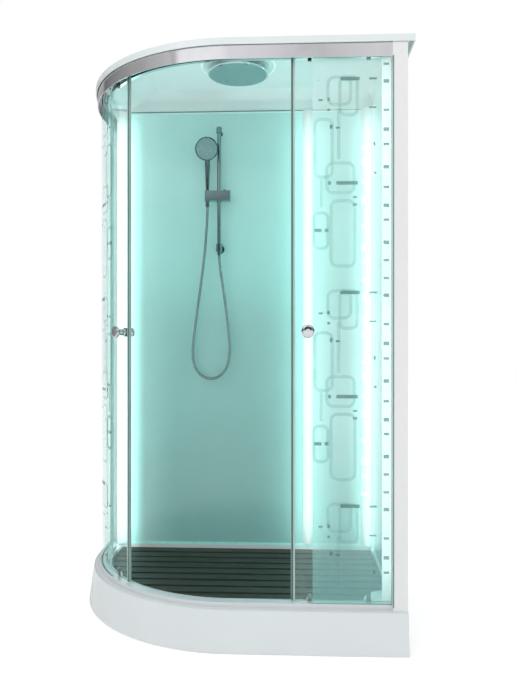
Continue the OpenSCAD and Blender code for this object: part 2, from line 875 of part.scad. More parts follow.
// Solid of the dome, grown by wall over the room inside it. low is how far it reaches below the ledge.
// Section of the dome: it rises from z1 to top as half a cosine wave, so it has no edge towards the doors
module dome_section(s, z0, z1, top) {
    // an odd count, so that the steepest stretch is one straight piece
    steps = 13;
    polygon(concat(
        [[-s, z0]],
        [for (i = [0 : steps]) [-s - dome_run * i / steps, z1 + (top - z1) * (1 - cos(180 * i / steps)) / 2]],
        [[-s - dome_run - fuse, top], [-s - dome_run - fuse, z0]]));
}
module dome(wall, top, low) {
    z0 = head_top - low;
    s = dome_set + roof_t - wall;
    c = cove_r + wall;
    intersection() {
        union() {
            translate([0, 0, z0]) linear_extrude(top - z0) plan(-s - dome_run, cut, cut);
            along_front(right_x + cut, back_y + cut) dome_section(s, z0, head_top + wall, top);
        }
        // cove above the back wall
        translate([left_x - cut, 0, 0]) rotate([90, 0, 90]) linear_extrude(cabin_w + 2 * cut)
            cove_section(wall_y + wall, z0, top, c, front_y - cut);
        // cove above the right wall
        translate([0, back_y + cut, 0]) rotate([90, 0, 0]) linear_extrude(cabin_d + 2 * cut)
            cove_section(wall_x + wall, z0, top, c, left_x - cut);
    }
}
module cove_section(face, z0, top, c, far) {
    translate([far, z0]) square([face - far - c, top - z0]);
    translate([far, z0]) square([face - far, top - c - z0]);
    translate([face - c, top - c]) circle(c);
}

// Rain head

rain_tail_d = 21;
rain_z = ceiling_z - rain_drop;
rain_tail_z = cabin_h + 12;
rain_tail_low = rain_plate_t + 2;
module rain_head_body() {
    rim = 6;
    r = rain_d / 2;
    color("silver")
    translate([0, rain_y, rain_z]) difference() {
        union() {
            rotate_extrude($fn = 96) difference() {
                polygon([[0, 2], [r - rim, 2], [r - rim, 0], [r - 1.5, 0], [r, 1.5], [r, 6], [r - 5, 10],
                    [45, 14], [24, 18], [24, 24], [0, 24]]);
                polygon([[0, 1], [0, rain_plate_t + 1], [r - rim, rain_plate_t + 1], [r - rim, 1]]);
            }
            // hollow tail that goes up through the roof, and the nut that draws the head to the ceiling
            translate([0, 0, rain_tail_low])
                cylinder(d = rain_tail_d, h = rain_tail_z - rain_z - rain_tail_low);
            translate([0, 0, 22]) cylinder(d = 40, h = rain_drop - 22);
            translate([0, 0, rain_drop + roof_t]) cylinder(d = 34, h = 7, $fn = 6);
        }
        translate([0, 0, 2]) cylinder(d = rain_tail_d - 6, h = rain_tail_z - rain_z);
    }
}
module rain_head_face() {
    rim = 6;
    step = (rain_d / 2 - 22) / nozzle_rings;
    color("slategray")
    translate([0, rain_y, rain_z]) {
        cylinder(d = rain_d - 2 * rim - 1, h = rain_plate_t, $fn = 96);
        for (k = [0 : nozzle_rings], i = [0 : max(0, k * 6 - 1)])
            rotate([0, 0, i * 60 / max(1, k)]) translate([k * step, 0, -1.2])
                cylinder(d = nozzle_d, h = 1.7, $fn = 13);
    }
}

// Feed pipes: up behind the right wall, one back along the roof's ledge and over the dome, and one round
// to the back wall

pipe_x = wall_x + wall_t + 10.5;
rain_pipe_y = mixer_y - 14;
hand_pipe_y = mixer_y + 14;
hand_pipe_z = outlet_z + 22;
back_pipe_y = wall_y + fold_d + feed_d / 2 + 3;
union_h = 8;
pipe_gap = 5;

// Pipe on straight legs, a slightly larger ball at each corner
module pipe(points, d) {
    for (i = [0 : len(points) - 2]) {
        v = points[i + 1] - points[i];
        translate(points[i]) rotate([0, acos(v[2] / norm(v)), atan2(v[1], v[0])])
            cylinder(d = d, h = norm(v));
        if (i > 0) translate(points[i]) sphere(d = d + 1.2);
    }
}
module union_nut(at) {
    translate(at) cylinder(d = feed_d + 8, h = union_h, $fn = 6);
}
module rain_feed_pipe() {
    z = rain_tail_z + union_h + feed_d / 2 + pipe_gap;
    ledge = head_top + roof_t + feed_d / 2 + pipe_gap;
    start = mixer_z + valve_h / 2;
    color("white") {
        pipe([[pipe_x, rain_pipe_y, start], [pipe_x, rain_pipe_y, ledge], [pipe_x, rain_y, ledge],
            [pipe_x, rain_y, z], [0, rain_y, z], [0, rain_y, rain_tail_z]], feed_d);
        union_nut([pipe_x, rain_pipe_y, start]);
        translate([0, rain_y, rain_tail_z]) cylinder(d = rain_tail_d + 5, h = union_h, $fn = 6);
    }
}
module hand_feed_pipe() {
    start = mixer_z + valve_h / 2;
    end = outlet_z + 11;
    color("white") {
        pipe([[pipe_x, hand_pipe_y, start], [pipe_x, hand_pipe_y, hand_pipe_z],
            [pipe_x, back_pipe_y, hand_pipe_z], [bar_x, back_pipe_y, hand_pipe_z],
            [bar_x, back_pipe_y, end]], feed_d);
        union_nut([pipe_x, hand_pipe_y, start]);
        translate([bar_x, back_pipe_y, end]) cylinder(d = feed_d + 5, h = 5, $fn = 6);
    }
}

driver_x = 330;
driver_y = 150;
module led_driver() {
    color("dimgray")
    translate([driver_x, driver_y, cabin_h]) {
        box(-60, 60, -30, 30, 0, 4);
        box(-50, 50, -30, 30, 4 - fuse, 26);
        translate([0, 45, 0]) cylinder(d = 18, h = 8);
        box(-4, 4, 20, 45, 0, 8);
    }
}

// Hand shower

module slide_rail() {
    color("silver")
    translate([bar_x, bar_y, bar_z0]) cylinder(d = bar_d, h = bar_len);
}
module rail_top_bracket() {
    z = bar_z0 + bar_len - 16;
    color("silver") difference() {
        union() {
            translate([bar_x, bar_y, z]) rotate([-90, 0, 0]) cylinder(d = 16, h = bar_off - 5);
            translate([bar_x, wall_y - 6, z]) rotate([-90, 0, 0]) cylinder(d = 24, h = 6 - seat / 2);
            translate([bar_x, bar_y, z - 12]) cylinder(d = bar_d + 6, h = 24);
        }
        translate([bar_x, bar_y, z - 12 - cut]) cylinder(d = bar_d, h = 24 + 2 * cut);
    }
}
module hose_outlet() {
    color("silver") difference() {
        union() {
            translate([bar_x, wall_y - 7, outlet_z]) rotate([-90, 0, 0]) cylinder(d = 38, h = 7 - seat / 2);
            translate([bar_x, bar_y, outlet_z]) rotate([-90, 0, 0]) cylinder(d = 22, h = bar_off - seat);
            translate([bar_x, wall_y - fuse, outlet_z]) rotate([-90, 0, 0])
                cylinder(d = 20, h = back_pipe_y - wall_y + fuse + 8);
            translate([bar_x, back_pipe_y, outlet_z]) cylinder(d = feed_d + 3, h = 11);
            translate([bar_x, bar_y, outlet_z - 16]) cylinder(d = bar_d + 8, h = 34);
            translate([bar_x, bar_y, hose_end_z]) cylinder(d = 17, h = outlet_z - hose_end_z);
        }
        translate([bar_x, bar_y, bar_z0]) cylinder(d = bar_d, h = 40);
    }
}
hose_end_z = outlet_z - 16 - hose_nut_l;

// Slider: a block on the rail with an open seat for the handset at its left end
slide_clear = 0.08;
slider_x0 = cradle_x - cradle_r;
slider_low = slider_z - slider_h / 2;
slider_top = slider_z + slider_h / 2;
button_d = 9;
button_x = bar_x + bar_d / 2 + 15;
module slider_block() {
    edge = 4;
    color("silver") difference() {
        union() {
            translate([slider_x0, bar_y - slider_d / 2, slider_low]) linear_extrude(slider_h)
                rounded_rect(slider_w, slider_d, edge);
            translate([cradle_x, cradle_y, slider_low - 6]) cylinder(r = cradle_r, h = slider_h + 6);
        }
        translate([bar_x, bar_y, slider_z - slider_h])
            cylinder(d = bar_d + 2 * slide_clear, h = 2 * slider_h);
        translate([cradle_x, cradle_y, slider_z - slider_h]) cylinder(d = handle_d + 0.6, h = 2 * slider_h);
        translate([button_x, bar_y, slider_top - 14]) cylinder(d = button_d + 0.12, h = 20);
    }
}
module rounded_rect(w, d, r) {
    translate([r, 0]) square([w - 2 * r, d]);
    translate([0, r]) square([w, d - 2 * r]);
    for (x = [r, w - r], y = [r, d - r]) translate([x, y]) circle(r);
}
module slider_button() {
    color("black")
    translate([button_x, bar_y, slider_top - 8]) cylinder(d = button_d, h = 15);
}

// Handset: a tapered handle in the slider, a neck that leans forward and a round head
module handset_body() {
    neck_z = head_z - head_d / 2 - 16;
    neck_d = handle_top_d - 4;
    color("silver") {
        translate([cradle_x, cradle_y, 0]) {
            rotate_extrude() polygon([
                [0, handle_z0], [handle_d / 2, handle_z0], [handle_d / 2, slider_top],
                [handle_d / 2 + 3, slider_top], [handle_d / 2 + 3, slider_top + 3],
                [handle_d / 2 + 0.5, slider_top + 5], [neck_d / 2, neck_z], [0, neck_z]]);
            translate([0, 0, handle_z0 - hose_nut_l]) cylinder(d = 17, h = hose_nut_l);
        }
        translate([cradle_x, cradle_y, neck_z]) sphere(d = neck_d + 1.2);
        pipe([[cradle_x, cradle_y, neck_z], [cradle_x, head_y + neck_d / 2, head_z - head_d / 3]], neck_d);
        translate([cradle_x, head_y, head_z]) rotate([90 + head_lean, 0, 0]) translate([0, 0, -head_t / 2])
            rotate_extrude($fn = 72) polygon([
                [0, 0], [head_d / 2 - 18, 0], [head_d / 2 - 6, 4], [head_d / 2, 9], [head_d / 2, head_t - 2],
                [head_d / 2 - 3, head_t], [0, head_t]]);
    }
}
module handset_face() {
    step = (head_d / 2 - 12) / 4;
    color("slategray")
    translate([cradle_x, head_y, head_z]) rotate([90 + head_lean, 0, 0]) translate([0, 0, head_t / 2]) {
        cylinder(d = head_d - 10, h = 2, $fn = 72);
        for (k = [1 : 4], i = [0 : k * 6 - 1])
            rotate([0, 0, i * 60 / k]) translate([k * step, 0, 1.5]) cylinder(d = 3, h = 1.7, $fn = 13);
    }
}

// Hose: one tube swept along its route, a ring of points square to the path at each step
hose_sides = 8;
hose_start = [cradle_x, cradle_y, handle_z0 - hose_nut_l];
hose_end = [bar_x, bar_y, hose_end_z];
hose_points = concat([for (p = hose_down) hose_start + p], [for (p = hose_up) hose_end + p]);
function path_dir(p, i) = let (a = p[max(0, i - 1)], b = p[min(len(p) - 1, i + 1)]) (b - a) / norm(b - a);
function curve_at(p, i, t) = let (
        a = p[max(0, i - 1)], b = p[i], c = p[i + 1], d = p[min(len(p) - 1, i + 2)])
    0.5 * (2 * b + (c - a) * t + (2 * a - 5 * b + 4 * c - d) * t * t + (3 * b - a - 3 * c + d) * t * t * t);
hose_path = concat([for (i = [0 : len(hose_points) - 2], t = [0, 0.5]) curve_at(hose_points, i, t)],
    [hose_points[len(hose_points) - 1]]);
module shower_hose() {
    n = len(hose_path);
    m = hose_sides;
    rings = [for (i = [0 : n - 1]) let (
            d = i == 0 || i == n - 1 ? [0, 0, i == 0 ? -1 : 1] : path_dir(hose_path, i),
            u = [0, 1, 0] - d * d[1], v = u / norm(u), w = cross(d, v))
        for (k = [0 : m - 1]) hose_path[i] + hose_r * (cos(k * 360 / m) * v + sin(k * 360 / m) * w)];
    faces = concat(
        [[for (k = [0 : m - 1]) k]],
        [for (i = [0 : n - 2], k = [0 : m - 1]) let (a = i * m + k, b = i * m + (k + 1) % m) [a, a + m, b]],
        [for (i = [0 : n - 2], k = [0 : m - 1])
            let (a = i * m + k, b = i * m + (k + 1) % m) [b, a + m, b + m]],
        [[for (k = [m - 1 : -1 : 0]) (n - 1) * m + k]]);
    color("gray") polyhedron(points = rings, faces = faces, convexity = 6);
}

// Mixer on the right wall: a plate in the cabin, the valve behind the wall and two controls on spindles

valve_h = 170;
valve_t = 20.7;
plate_t = 3;
spindle_d = 12;
spindle_l = 14;
lever_l = 46;
module mixer_body() {
    color("silver") {
        box(wall_x - plate_t, wall_x - seat / 2, mixer_y - 30, mixer_y + 30, mixer_z - 90, mixer_z + 90);
        box(wall_x + wall_t + seat, wall_x + wall_t + seat + valve_t, mixer_y - 28, mixer_y + 28,
            mixer_z - valve_h / 2, mixer_z + valve_h / 2);
        for (dz = [-1, 1]) translate([wall_x, mixer_y, mixer_z + dz * mixer_span / 2]) rotate([0, -90, 0]) {
            translate([0, 0, -wall_t - 3]) cylinder(d = 24, h = wall_t + 3 + plate_t - 0.5);
            cylinder(d = spindle_d, h = plate_t + spindle_l);
        }
        for (dz = [-1, 1]) translate([valve_x1, mixer_y, mixer_z + dz * mixer_span / 2]) rotate([0, 90, 0]) {
            translate([0, 0, -fuse]) cylinder(d = inlet_d - 3, h = fuse + inlet_neck + cut);
            translate([0, 0, inlet_neck]) cylinder(d = inlet_d, h = inlet_l);
        }
    }
}
valve_x1 = wall_x + wall_t + seat + valve_t;
inlet_neck = 4;
inlet_l = 18;
module mixer_lever() {
    control(1) {
        cylinder(d1 = control_d, d2 = control_d - 4, h = control_len);
        // the lever hangs down from the hub at rest
        translate([-lever_l, -5, control_len - 12]) cube([lever_l, 10, 9]);
        translate([-lever_l, 0, control_len - 12]) cylinder(d = 10, h = 9);
    }
}
module diverter_knob() {
    control(-1) {
        cylinder(d = control_d, h = control_len - 8);
        translate([0, 0, control_len - 8 - fuse]) cylinder(d1 = control_d - 4, d2 = control_d - 10, h = 6);
        translate([-control_d / 2 + 6, -4, control_len - 8]) cube([control_d - 12, 8, 8]);
    }
}
// Stands a control on its spindle: X points up the wall and Z into the cabin
module control(side) {
    color("silver")
    translate([wall_x - plate_t - seat, mixer_y, mixer_z + side * mixer_span / 2]) rotate([0, -90, 0])
        difference() {
            union() children();
            translate([0, 0, -cut]) cylinder(d = spindle_d + 0.1, h = spindle_l + cut + 0.5);
        }
}

// Doors

module left_door_glass() {
    color("paleturquoise", 0.4) difference() {
        along_arc(left_glass_a0, left_glass_a1) band(door_set, door_back, door_low, door_top);
        on_arc(knob_a) across(knob_bolt_d + 2, door_set - cut, door_back + cut, knob_z);
        for (a = left_rollers, z = [low_carrier_z, top_carrier_z])
            on_arc(a) across(carrier_bolt_d, door_set - cut, door_back + cut, z);
    }
}
module right_door_glass() {
    color("paleturquoise", 0.4) difference() {
        box(right_glass_x0, right_glass_x1, front_y + door_set, front_y + door_back, door_low, door_top);
        on_front(knob_x) across(knob_bolt_d + 2, door_set - cut, door_back + cut, knob_z);
        for (x = right_rollers, z = [low_carrier_z, top_carrier_z])
            on_front(x) across(carrier_bolt_d, door_set - cut, door_back + cut, z);
    }
}

// Leading seal: a channel over the glass edge with a solid bulb ahead of it
seal_grip = 6;
seal_fit = 0.1;
module left_door_seal() {
    color("cadetblue") difference() {
        along_arc(left_open_a, left_glass_a0 + arc_deg(seal_grip))
            band(door_set - seal_t, door_back + seal_t, door_low, door_top);
        along_arc(left_glass_a0 - arc_deg(seal_fit), left_glass_a0 + arc_deg(seal_grip + cut))
            band(door_set - seal_fit, door_back + seal_fit, door_low - cut, door_top + cut);
    }
}
module right_door_seal() {
    color("cadetblue") difference() {
        box(right_open_x, right_glass_x0 + seal_grip, front_y + door_set - seal_t,
            front_y + door_back + seal_t, door_low, door_top);
        box(right_glass_x0 - seal_fit, right_glass_x0 + seal_grip + cut, front_y + door_set - seal_fit,
            front_y + door_back + seal_fit, door_low - cut, door_top + cut);
    }
}
// Fin seal: a strip on the trailing edge with a fin that reaches towards the fixed pane
fin_set = slot_in + lip + run;
fin_t = 1.5;
module left_fin_seal() {
    color("lightgray") {
        along_arc(left_glass_a1, left_end_a) band(door_set, door_back, door_low, door_top);
        along_arc(left_end_a - arc_deg(fin_t), left_end_a) band(fin_set, door_set, door_low, door_top);
    }
}
module right_fin_seal() {
    x1 = right_open_x + right_len;
    color("lightgray") {
        box(right_glass_x1, x1, front_y + door_set, front_y + door_back, door_low, door_top);
        box(x1 - fin_t, x1, front_y + fin_set, front_y + door_set + cut, door_low, door_top);
    }
}

// Knobs: one on each face of the glass, on a common bolt
module knob_pair() {
    r = knob_d / 2;
    n = knob_stem_d / 2;
    l = knob_len;
    m = knob_in_len;
    color("silver") {
        translate([0, door_set - gasket_t, knob_z]) rotate([90, 0, 0]) rotate_extrude($fn = 60)
            polygon([[0, 0], [n, 0], [n, 5], [n - 2.5, 8], [n - 2.5, l - 20], [r - 2, l - 12], [r, l - 9],
                [r, l - 4.5], [r - 1.5, l - 2.5], [r * 0.7, l - 0.8], [r * 0.35, l], [0, l]]);
        translate([0, door_back + gasket_t, knob_z]) rotate([-90, 0, 0]) rotate_extrude($fn = 60)
            polygon([[0, 0], [n, 0], [n, 4], [n - 2.5, 6], [n - 2.5, m - 14], [r - 8, m - 9], [r - 6, m - 7],
                [r - 6, m - 3], [r - 7.5, m - 1], [(r - 6) * 0.5, m], [0, m]]);
        across(knob_bolt_d, door_set - gasket_t - 3, door_back + gasket_t + 3, knob_z);
    }
}
module knob_gaskets_pair(sag = 0) {
    color("black") difference() {
        union() {
            across(knob_stem_d + 3, door_set - gasket_t, door_set, knob_z);
            across(knob_stem_d + 3, door_back + sag, door_back + gasket_t, knob_z);
        }
        across(knob_bolt_d + 2, door_set - gasket_t - cut, door_back + gasket_t + cut, knob_z);
    }
}
module left_knobs() {
    on_arc(knob_a) knob_pair();
}
module right_knobs() {
    on_front(knob_x) knob_pair();
}
module left_knob_gaskets() {
    // on the hollow side of the bent pane the flat gasket bears at its edge
    edge = knob_stem_d / 2 + 1.5;
    on_arc(knob_a) knob_gaskets_pair(edge * edge / (2 * (door_r - glass_t / 2)) + 0.05);
}
module right_knob_gaskets() {
    on_front(knob_x) knob_gaskets_pair();
}

// Carrier: a bolt through the glass, an arm behind it and the axle that its roller turns on
module carrier(axle_z, bolt_z) {
    arm_out = door_back + arm_gap;
    arm_in = arm_out + arm_t;
    z0 = min(axle_z - 4, bolt_z - 7);
    z1 = max(axle_z + 7, bolt_z + 8);
    translate([-carrier_w / 2, arm_out, z0]) cube([carrier_w, arm_t, z1 - z0]);
    across(carrier_bolt_d - 0.4, door_set - 1.5, arm_out + cut, bolt_z);
    across(carrier_bolt_d + 5, door_set - 2.2, door_set - 0.2, bolt_z);
    across(axle_d, arm_in - cut, groove_in + cut, axle_z);
    across(axle_head_d, groove_in, groove_in + axle_head_t, axle_z);
}
module left_roller_carriers() {
    color("gray") for (a = left_rollers) on_arc(a) {
        carrier(low_axle_z, low_carrier_z);
        carrier(top_axle_z, top_carrier_z);
    }
}
module right_roller_carriers() {
    color("gray") for (x = right_rollers) on_front(x) {
        carrier(low_axle_z, low_carrier_z);
        carrier(top_axle_z, top_carrier_z);
    }
}

// Roller: a grooved wheel on its axle
module roller(d, z) {
    color("white") difference() {
        across(d, roller_out, roller_in, z);
        across(axle_d + 2 * axle_clear, roller_out - cut, roller_in + cut, z);
        across(d - 7, roller_out - cut, roller_out + 1.2, z);
    }
    color("white") difference() {
        across(axle_d + 4, roller_out, roller_in, z);
        across(axle_d + 2 * axle_clear, roller_out - cut, roller_in + cut, z);
    }
}
module left_roller_low_front() {
    on_arc(left_rollers[0]) roller(low_roller_d, low_axle_z);
}
module left_roller_low_rear() {
    on_arc(left_rollers[1]) roller(low_roller_d, low_axle_z);
}
module left_roller_top_front() {
    on_arc(left_rollers[0]) roller(top_roller_d, top_axle_z);
}
module left_roller_top_rear() {
    on_arc(left_rollers[1]) roller(top_roller_d, top_axle_z);
}
module right_roller_low_front() {
    on_front(right_rollers[0]) roller(low_roller_d, low_axle_z);
}
module right_roller_low_rear() {
    on_front(right_rollers[1]) roller(low_roller_d, low_axle_z);
}
module right_roller_top_front() {
    on_front(right_rollers[0]) roller(top_roller_d, top_axle_z);
}
module right_roller_top_rear() {
    on_front(right_rollers[1]) roller(top_roller_d, top_axle_z);
}

tray_shell();
tray_apron();
underframe();
foot_studs();
foot_pads();
deck_slats();
deck_bearers();
waste_body();
waste_cover();
waste_outlet();
bottom_rail();
top_rail();
left_post();
right_post();
left_fixed_glass();
right_fixed_glass();
glass_gaskets();
back_wall_main();
back_wall_side();
right_wall();
led_profiles();
led_diffusers();
wall_foot_trim();
roof_shell();
rain_head_body();
rain_head_face();
rain_feed_pipe();
led_driver();
slide_rail();
rail_top_bracket();
hose_outlet();
hand_feed_pipe();
mixer_body();
shower_hose();
left_door_glass();
left_door_seal();
left_fin_seal();
left_knobs();
left_knob_gaskets();
left_roller_carriers();
left_roller_low_front();
left_roller_low_rear();
left_roller_top_front();
left_roller_top_rear();
right_door_glass();
right_door_seal();
right_fin_seal();
right_knobs();
right_knob_gaskets();
right_roller_carriers();
right_roller_low_front();
right_roller_low_rear();
right_roller_top_front();
right_roller_top_rear();
slider_block();
slider_button();
handset_body();
handset_face();
mixer_lever();
diverter_knob();
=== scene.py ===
"""Looks of a shower cabin: materials, hose, printed glass, small fittings and the stage around its frame."""

import math

import bpy
import numpy as np
from bpy.props import FloatProperty, FloatVectorProperty, IntProperty, PointerProperty
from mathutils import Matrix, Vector


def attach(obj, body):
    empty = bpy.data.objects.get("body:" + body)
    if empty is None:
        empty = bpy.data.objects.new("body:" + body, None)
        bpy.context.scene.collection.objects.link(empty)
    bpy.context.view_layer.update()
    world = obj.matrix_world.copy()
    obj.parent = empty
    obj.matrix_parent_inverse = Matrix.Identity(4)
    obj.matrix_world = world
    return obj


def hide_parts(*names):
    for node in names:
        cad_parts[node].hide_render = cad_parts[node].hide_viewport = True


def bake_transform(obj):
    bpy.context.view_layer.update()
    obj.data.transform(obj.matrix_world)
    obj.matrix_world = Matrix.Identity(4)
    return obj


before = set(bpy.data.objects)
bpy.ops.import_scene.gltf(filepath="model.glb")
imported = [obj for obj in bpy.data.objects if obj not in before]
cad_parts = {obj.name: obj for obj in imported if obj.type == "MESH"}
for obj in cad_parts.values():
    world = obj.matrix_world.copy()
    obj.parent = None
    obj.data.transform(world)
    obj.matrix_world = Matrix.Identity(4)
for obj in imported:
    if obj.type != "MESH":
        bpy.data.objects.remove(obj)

bl_info = {
    "name": "Shower cabin looks",
    "version": (1, 0, 0),
    "blender": (4, 5, 0),
    "location": "3D View > Sidebar > Cabin",
    "description": "Finishes a shower cabin: materials, hose, printed glass, fittings, light and camera",
    "category": "Add Mesh",
}

# Plan of the cabin, in metres: the rounded corner's centre and radius, the straight front, the fixed panes'
# set-back, the flat one's free edge and the angle round the corner at which the bent one starts
ARC_X, ARC_Y, CORNER_R = 0.0, 0.2, 0.6
FRONT_Y = -0.4
FIXED_SET = 0.022
RIGHT_PANE_X = 0.283
LEFT_PANE_START = math.radians(53)
CEILING_Z = 2.146
RAIN_XY = (0.0, 0.04)

# Glow of the lamps: the heights between which the covers come up and die away, and what is left at the ends
LAMP_FOOT = (0.15, 0.27)
LAMP_TOP = (1.88, 2.06)
LAMP_END = 0.55
# Lamps in plan, the way each one faces in degrees, its share of the power, and the strength of the painted
# pool of light that it leaves on the wall panels
LAMP_SPOTS = ((-0.535, 0.275, -45, 1.0, 0.60), (0.300, 0.280, 0, 0.7, 0.18), (0.560, 0.270, 45, 1.0, 0.38),
              (0.560, -0.335, 135, 0.3, 0.08))
# The front cover stands nearest the eye and shows the brightest: its share of the glow, and the range of y
FRONT_COVER = (1.75, -0.3, -0.1)
# A column's own light: its colour, how far it stands ahead of the cover, its middle height and its size
LAMP_LIGHT = (0.71, 1.0, 0.955)
LAMP_AHEAD, LAMP_MID, LAMP_SIZE = 0.04, 1.08, (0.05, 1.86)
# Light thrown back up from the walls and the deck to the ceiling: its place, size, spread in degrees, and its
# share of a column's power
BOUNCE_AT, BOUNCE_SIZE, BOUNCE_SPREAD, BOUNCE_SHARE = (0.0, -0.02, 0.95), (0.8, 0.3), 110, 0.75
# Painted light on the wall panels: how far the painted pool of light round a lamp reaches, the heights and
# levels of the painted light along the top edge, and the strength of the full painted light
PAINTED_POOL_REACH = (0.03, 0.28)
WALL_TOP_PAINTED_LIGHT = (1.0, 2.06, 0.0, 0.38)
WALL_PAINTED_LIGHT = 0.4

# Heights between which the printed pane turns from painted shade at its foot to its pale top
PANE_SHADE_HEIGHTS = (0.2, 0.75)

# Brightness of the studio in gloss, and the floor's glow as light and to the eye
GLOSS_LEVEL = 0.42
FLOOR_GLOW = (0.06, 0.45)

# Leading edges of the half-open doors: the right one's x and the left one's angle round the corner
RIGHT_EDGE = 0.210
LEFT_EDGE = math.radians(42.4946)
# Magnet strip in each leading seal: its sides from the edge, its faces back from the front, its ends
MAGNET = (0.0015, 0.0070)
SEAL_FACE, SEAL_BACK = 0.0352, 0.0458
SEAL_RANGE = (0.1605, 2.012)

# Thin strips, by two opposite corners: a dark strip beside the right post that is painted shade of the gap
# there, the cap along the walls and its seal
POST_SHADE_STRIP = ((0.5500, -0.3952, 0.152), (0.5534, -0.3938, 1.996))
WALL_CAP = ((-0.500, 0.3136, 2.0535), (0.555, 0.3152, 2.0590))
WALL_CAP_SEAL = ((-0.500, 0.3132, 2.0590), (0.555, 0.3152, 2.0636))

# Ledge in the tray's right front corner: its corner in plan, its reach, its lower and upper face, and the
# steps of its rounded edge
CORNER_AT, CORNER_REACH, CORNER_RISE, CORNER_STEPS = (0.565, -0.330), 0.105, (0.128, 0.150), 14

# Ceiling ring: half its width, its drop, how far it starts inside the ceiling, steps across and round it
RING_HALF, RING_DROP, RING_SEAT, RING_STEPS, RING_SIDES = 0.006, 0.003, 0.0004, 9, 96

# Deck boards: the first one's rear edge, their pitch, and how far the painted shade reaches in from a rear
# edge
BOARD_START, BOARD_PITCH, BOARD_EDGE_SHADE = 0.308, 0.0662, 0.008

# The photograph's height, focal length and horizon in pixels, the sensor, and the camera's place and turn
PHOTO_H = 688
FOCAL_PX = 667.0
HORIZON_PX = 342.0
SENSOR_MM = 36.0
CAMERA_AT, CAMERA_TURN = (0.2, -2.636, 1.039), math.radians(2.57)

# The hose's two ends in metres and its route from each in millimetres, the steps between two points of the
# route, the rings of one rib as shares of the full radius, and how many rings at each end are plain
HOSE_START = (-0.151, 0.261, 1.629)
HOSE_END = (-0.100, 0.265, 1.419)
HOSE_DOWN = [
    (0, 0, 0), (0, 0, -26), (-2, 0, -70), (-6, 0, -130), (-12, 1, -200), (-21, 2, -280), (-33, 4, -370),
    (-46, 6, -460), (-58, 8, -550), (-64, 9, -610), (-65, 10, -650), (-58, 10, -692), (-42, 10, -722),
    (-20, 10, -741), (6, 10, -749)]
HOSE_UP = [
    (-17, 6, -537), (9, 6, -522), (29, 5, -496), (41, 5, -462), (46, 4, -420), (45, 3, -370), (37, 2, -290),
    (27, 2, -210), (17, 1, -140), (8, 1, -80), (2, 0, -28), (0, 0, 0)]
HOSE_STEPS = 24
RIB = (1.0, 0.975, 0.9, 0.975)
PLAIN_RINGS = 12

# Blender's own numbers: the Mix node's two colour inputs and its colour output, and the Wave node's scale
# that gives one rib to the metre
MIX_A, MIX_B, MIX_RESULT = 6, 7, 2
WAVE_UNIT = math.tau / 20


class Look:
    """A Principled material whose colour, gloss and relief come from textures in object space."""

    def __init__(self, name, color, rough, **sockets):
        self.mat = bpy.data.materials.new(name)
        self.mat.use_nodes = True
        self.tree = self.mat.node_tree
        self.shader = self.tree.nodes["Principled BSDF"]
        self.shader.inputs["Base Color"].default_value = (*color, 1.0)
        self.shader.inputs["Roughness"].default_value = rough
        for key, value in sockets.items():
            name = key.replace("_", " ").title().replace("Ior", "IOR")
            if isinstance(value, tuple):
                value = (*value, 1.0)
            self.shader.inputs[name].default_value = value
        self.coord = self.tree.nodes.new("ShaderNodeTexCoord").outputs["Object"]
        self.mat.diffuse_color = (*color, 1.0)

    def node(self, kind, **inputs):
        """Adds a node, with its inputs set or linked by name."""
        made = self.tree.nodes.new(kind)
        for key, value in inputs.items():
            socket = made.inputs[key.replace("_", " ")]
            if isinstance(value, bpy.types.NodeSocket):
                self.tree.links.new(value, socket)
            else:
                socket.default_value = value
        return made

    def place(self, stretch):
        """Object coordinates stretched along each axis."""
        return self.node("ShaderNodeMapping", Vector=self.coord, Scale=stretch).outputs["Vector"]

    def noise(self, scale, stretch=(1, 1, 1), detail=3.0, distortion=0.0):
        """Cloudy noise from 0 to 1, scale features to the metre."""
        made = self.node("ShaderNodeTexNoise", Vector=self.place(stretch), Scale=scale, Detail=detail,
                         Distortion=distortion)
        return made.outputs["Fac"]

    def bands(self, count, axis):
        """Parallel ribs across one axis, count of them to the metre."""
        made = self.node("ShaderNodeTexWave", Vector=self.coord, Scale=count * WAVE_UNIT)
        made.bands_direction = axis
        return made.outputs["Fac"]

    def cells(self, scale):
        """Flat random value for each cell, as in zinc spangle."""
        return self.node("ShaderNodeTexVoronoi", Vector=self.coord, Scale=scale).outputs["Color"]

    def remap(self, value, low, high, to_low, to_high):
        """Value from low to high becomes to_low to to_high, clamped."""
        made = self.node("ShaderNodeMapRange", Value=value, From_Min=low, From_Max=high, To_Min=to_low,
                         To_Max=to_high)
        return made.outputs["Result"]

    def blend(self, value, color_a, color_b):
        """Colour from a to b by value."""
        made = self.tree.nodes.new("ShaderNodeMix")
        made.data_type = "RGBA"
        self.tree.links.new(value, made.inputs["Factor"])
        for socket, color in ((made.inputs[MIX_A], color_a), (made.inputs[MIX_B], color_b)):
            if isinstance(color, bpy.types.NodeSocket):
                self.tree.links.new(color, socket)
            else:
                socket.default_value = (*color, 1.0)
        return made.outputs[MIX_RESULT]

    def times(self, value, factor):
        """Product of two textures."""
        made = self.node("ShaderNodeMath", Value=value)
        made.operation = "MULTIPLY"
        self.tree.links.new(factor, made.inputs[1])
        return made.outputs[0]

    def plus(self, value, more):
        """Sum of two textures."""
        made = self.node("ShaderNodeMath", Value=value)
        made.operation = "ADD"
        self.tree.links.new(more, made.inputs[1])
        return made.outputs[0]

    def wire(self, name, socket):
        """Drives one of the shader's sockets by a texture."""
        self.tree.links.new(socket, self.shader.inputs[name])
        return self

    def relief(self, height, depth, strength=1.0):
        """Surface relief, depth in metres."""
        made = self.node("ShaderNodeBump", Height=height, Distance=depth, Strength=strength)
        return self.wire("Normal", made.outputs["Normal"])


def paint(name):
    """A colour from the settings."""
    return tuple(getattr(bpy.context.scene.cabin_colors, name))


def tinted(color, factor):
    """The colour made lighter or darker."""
    return tuple(min(1.0, c * factor) for c in color)


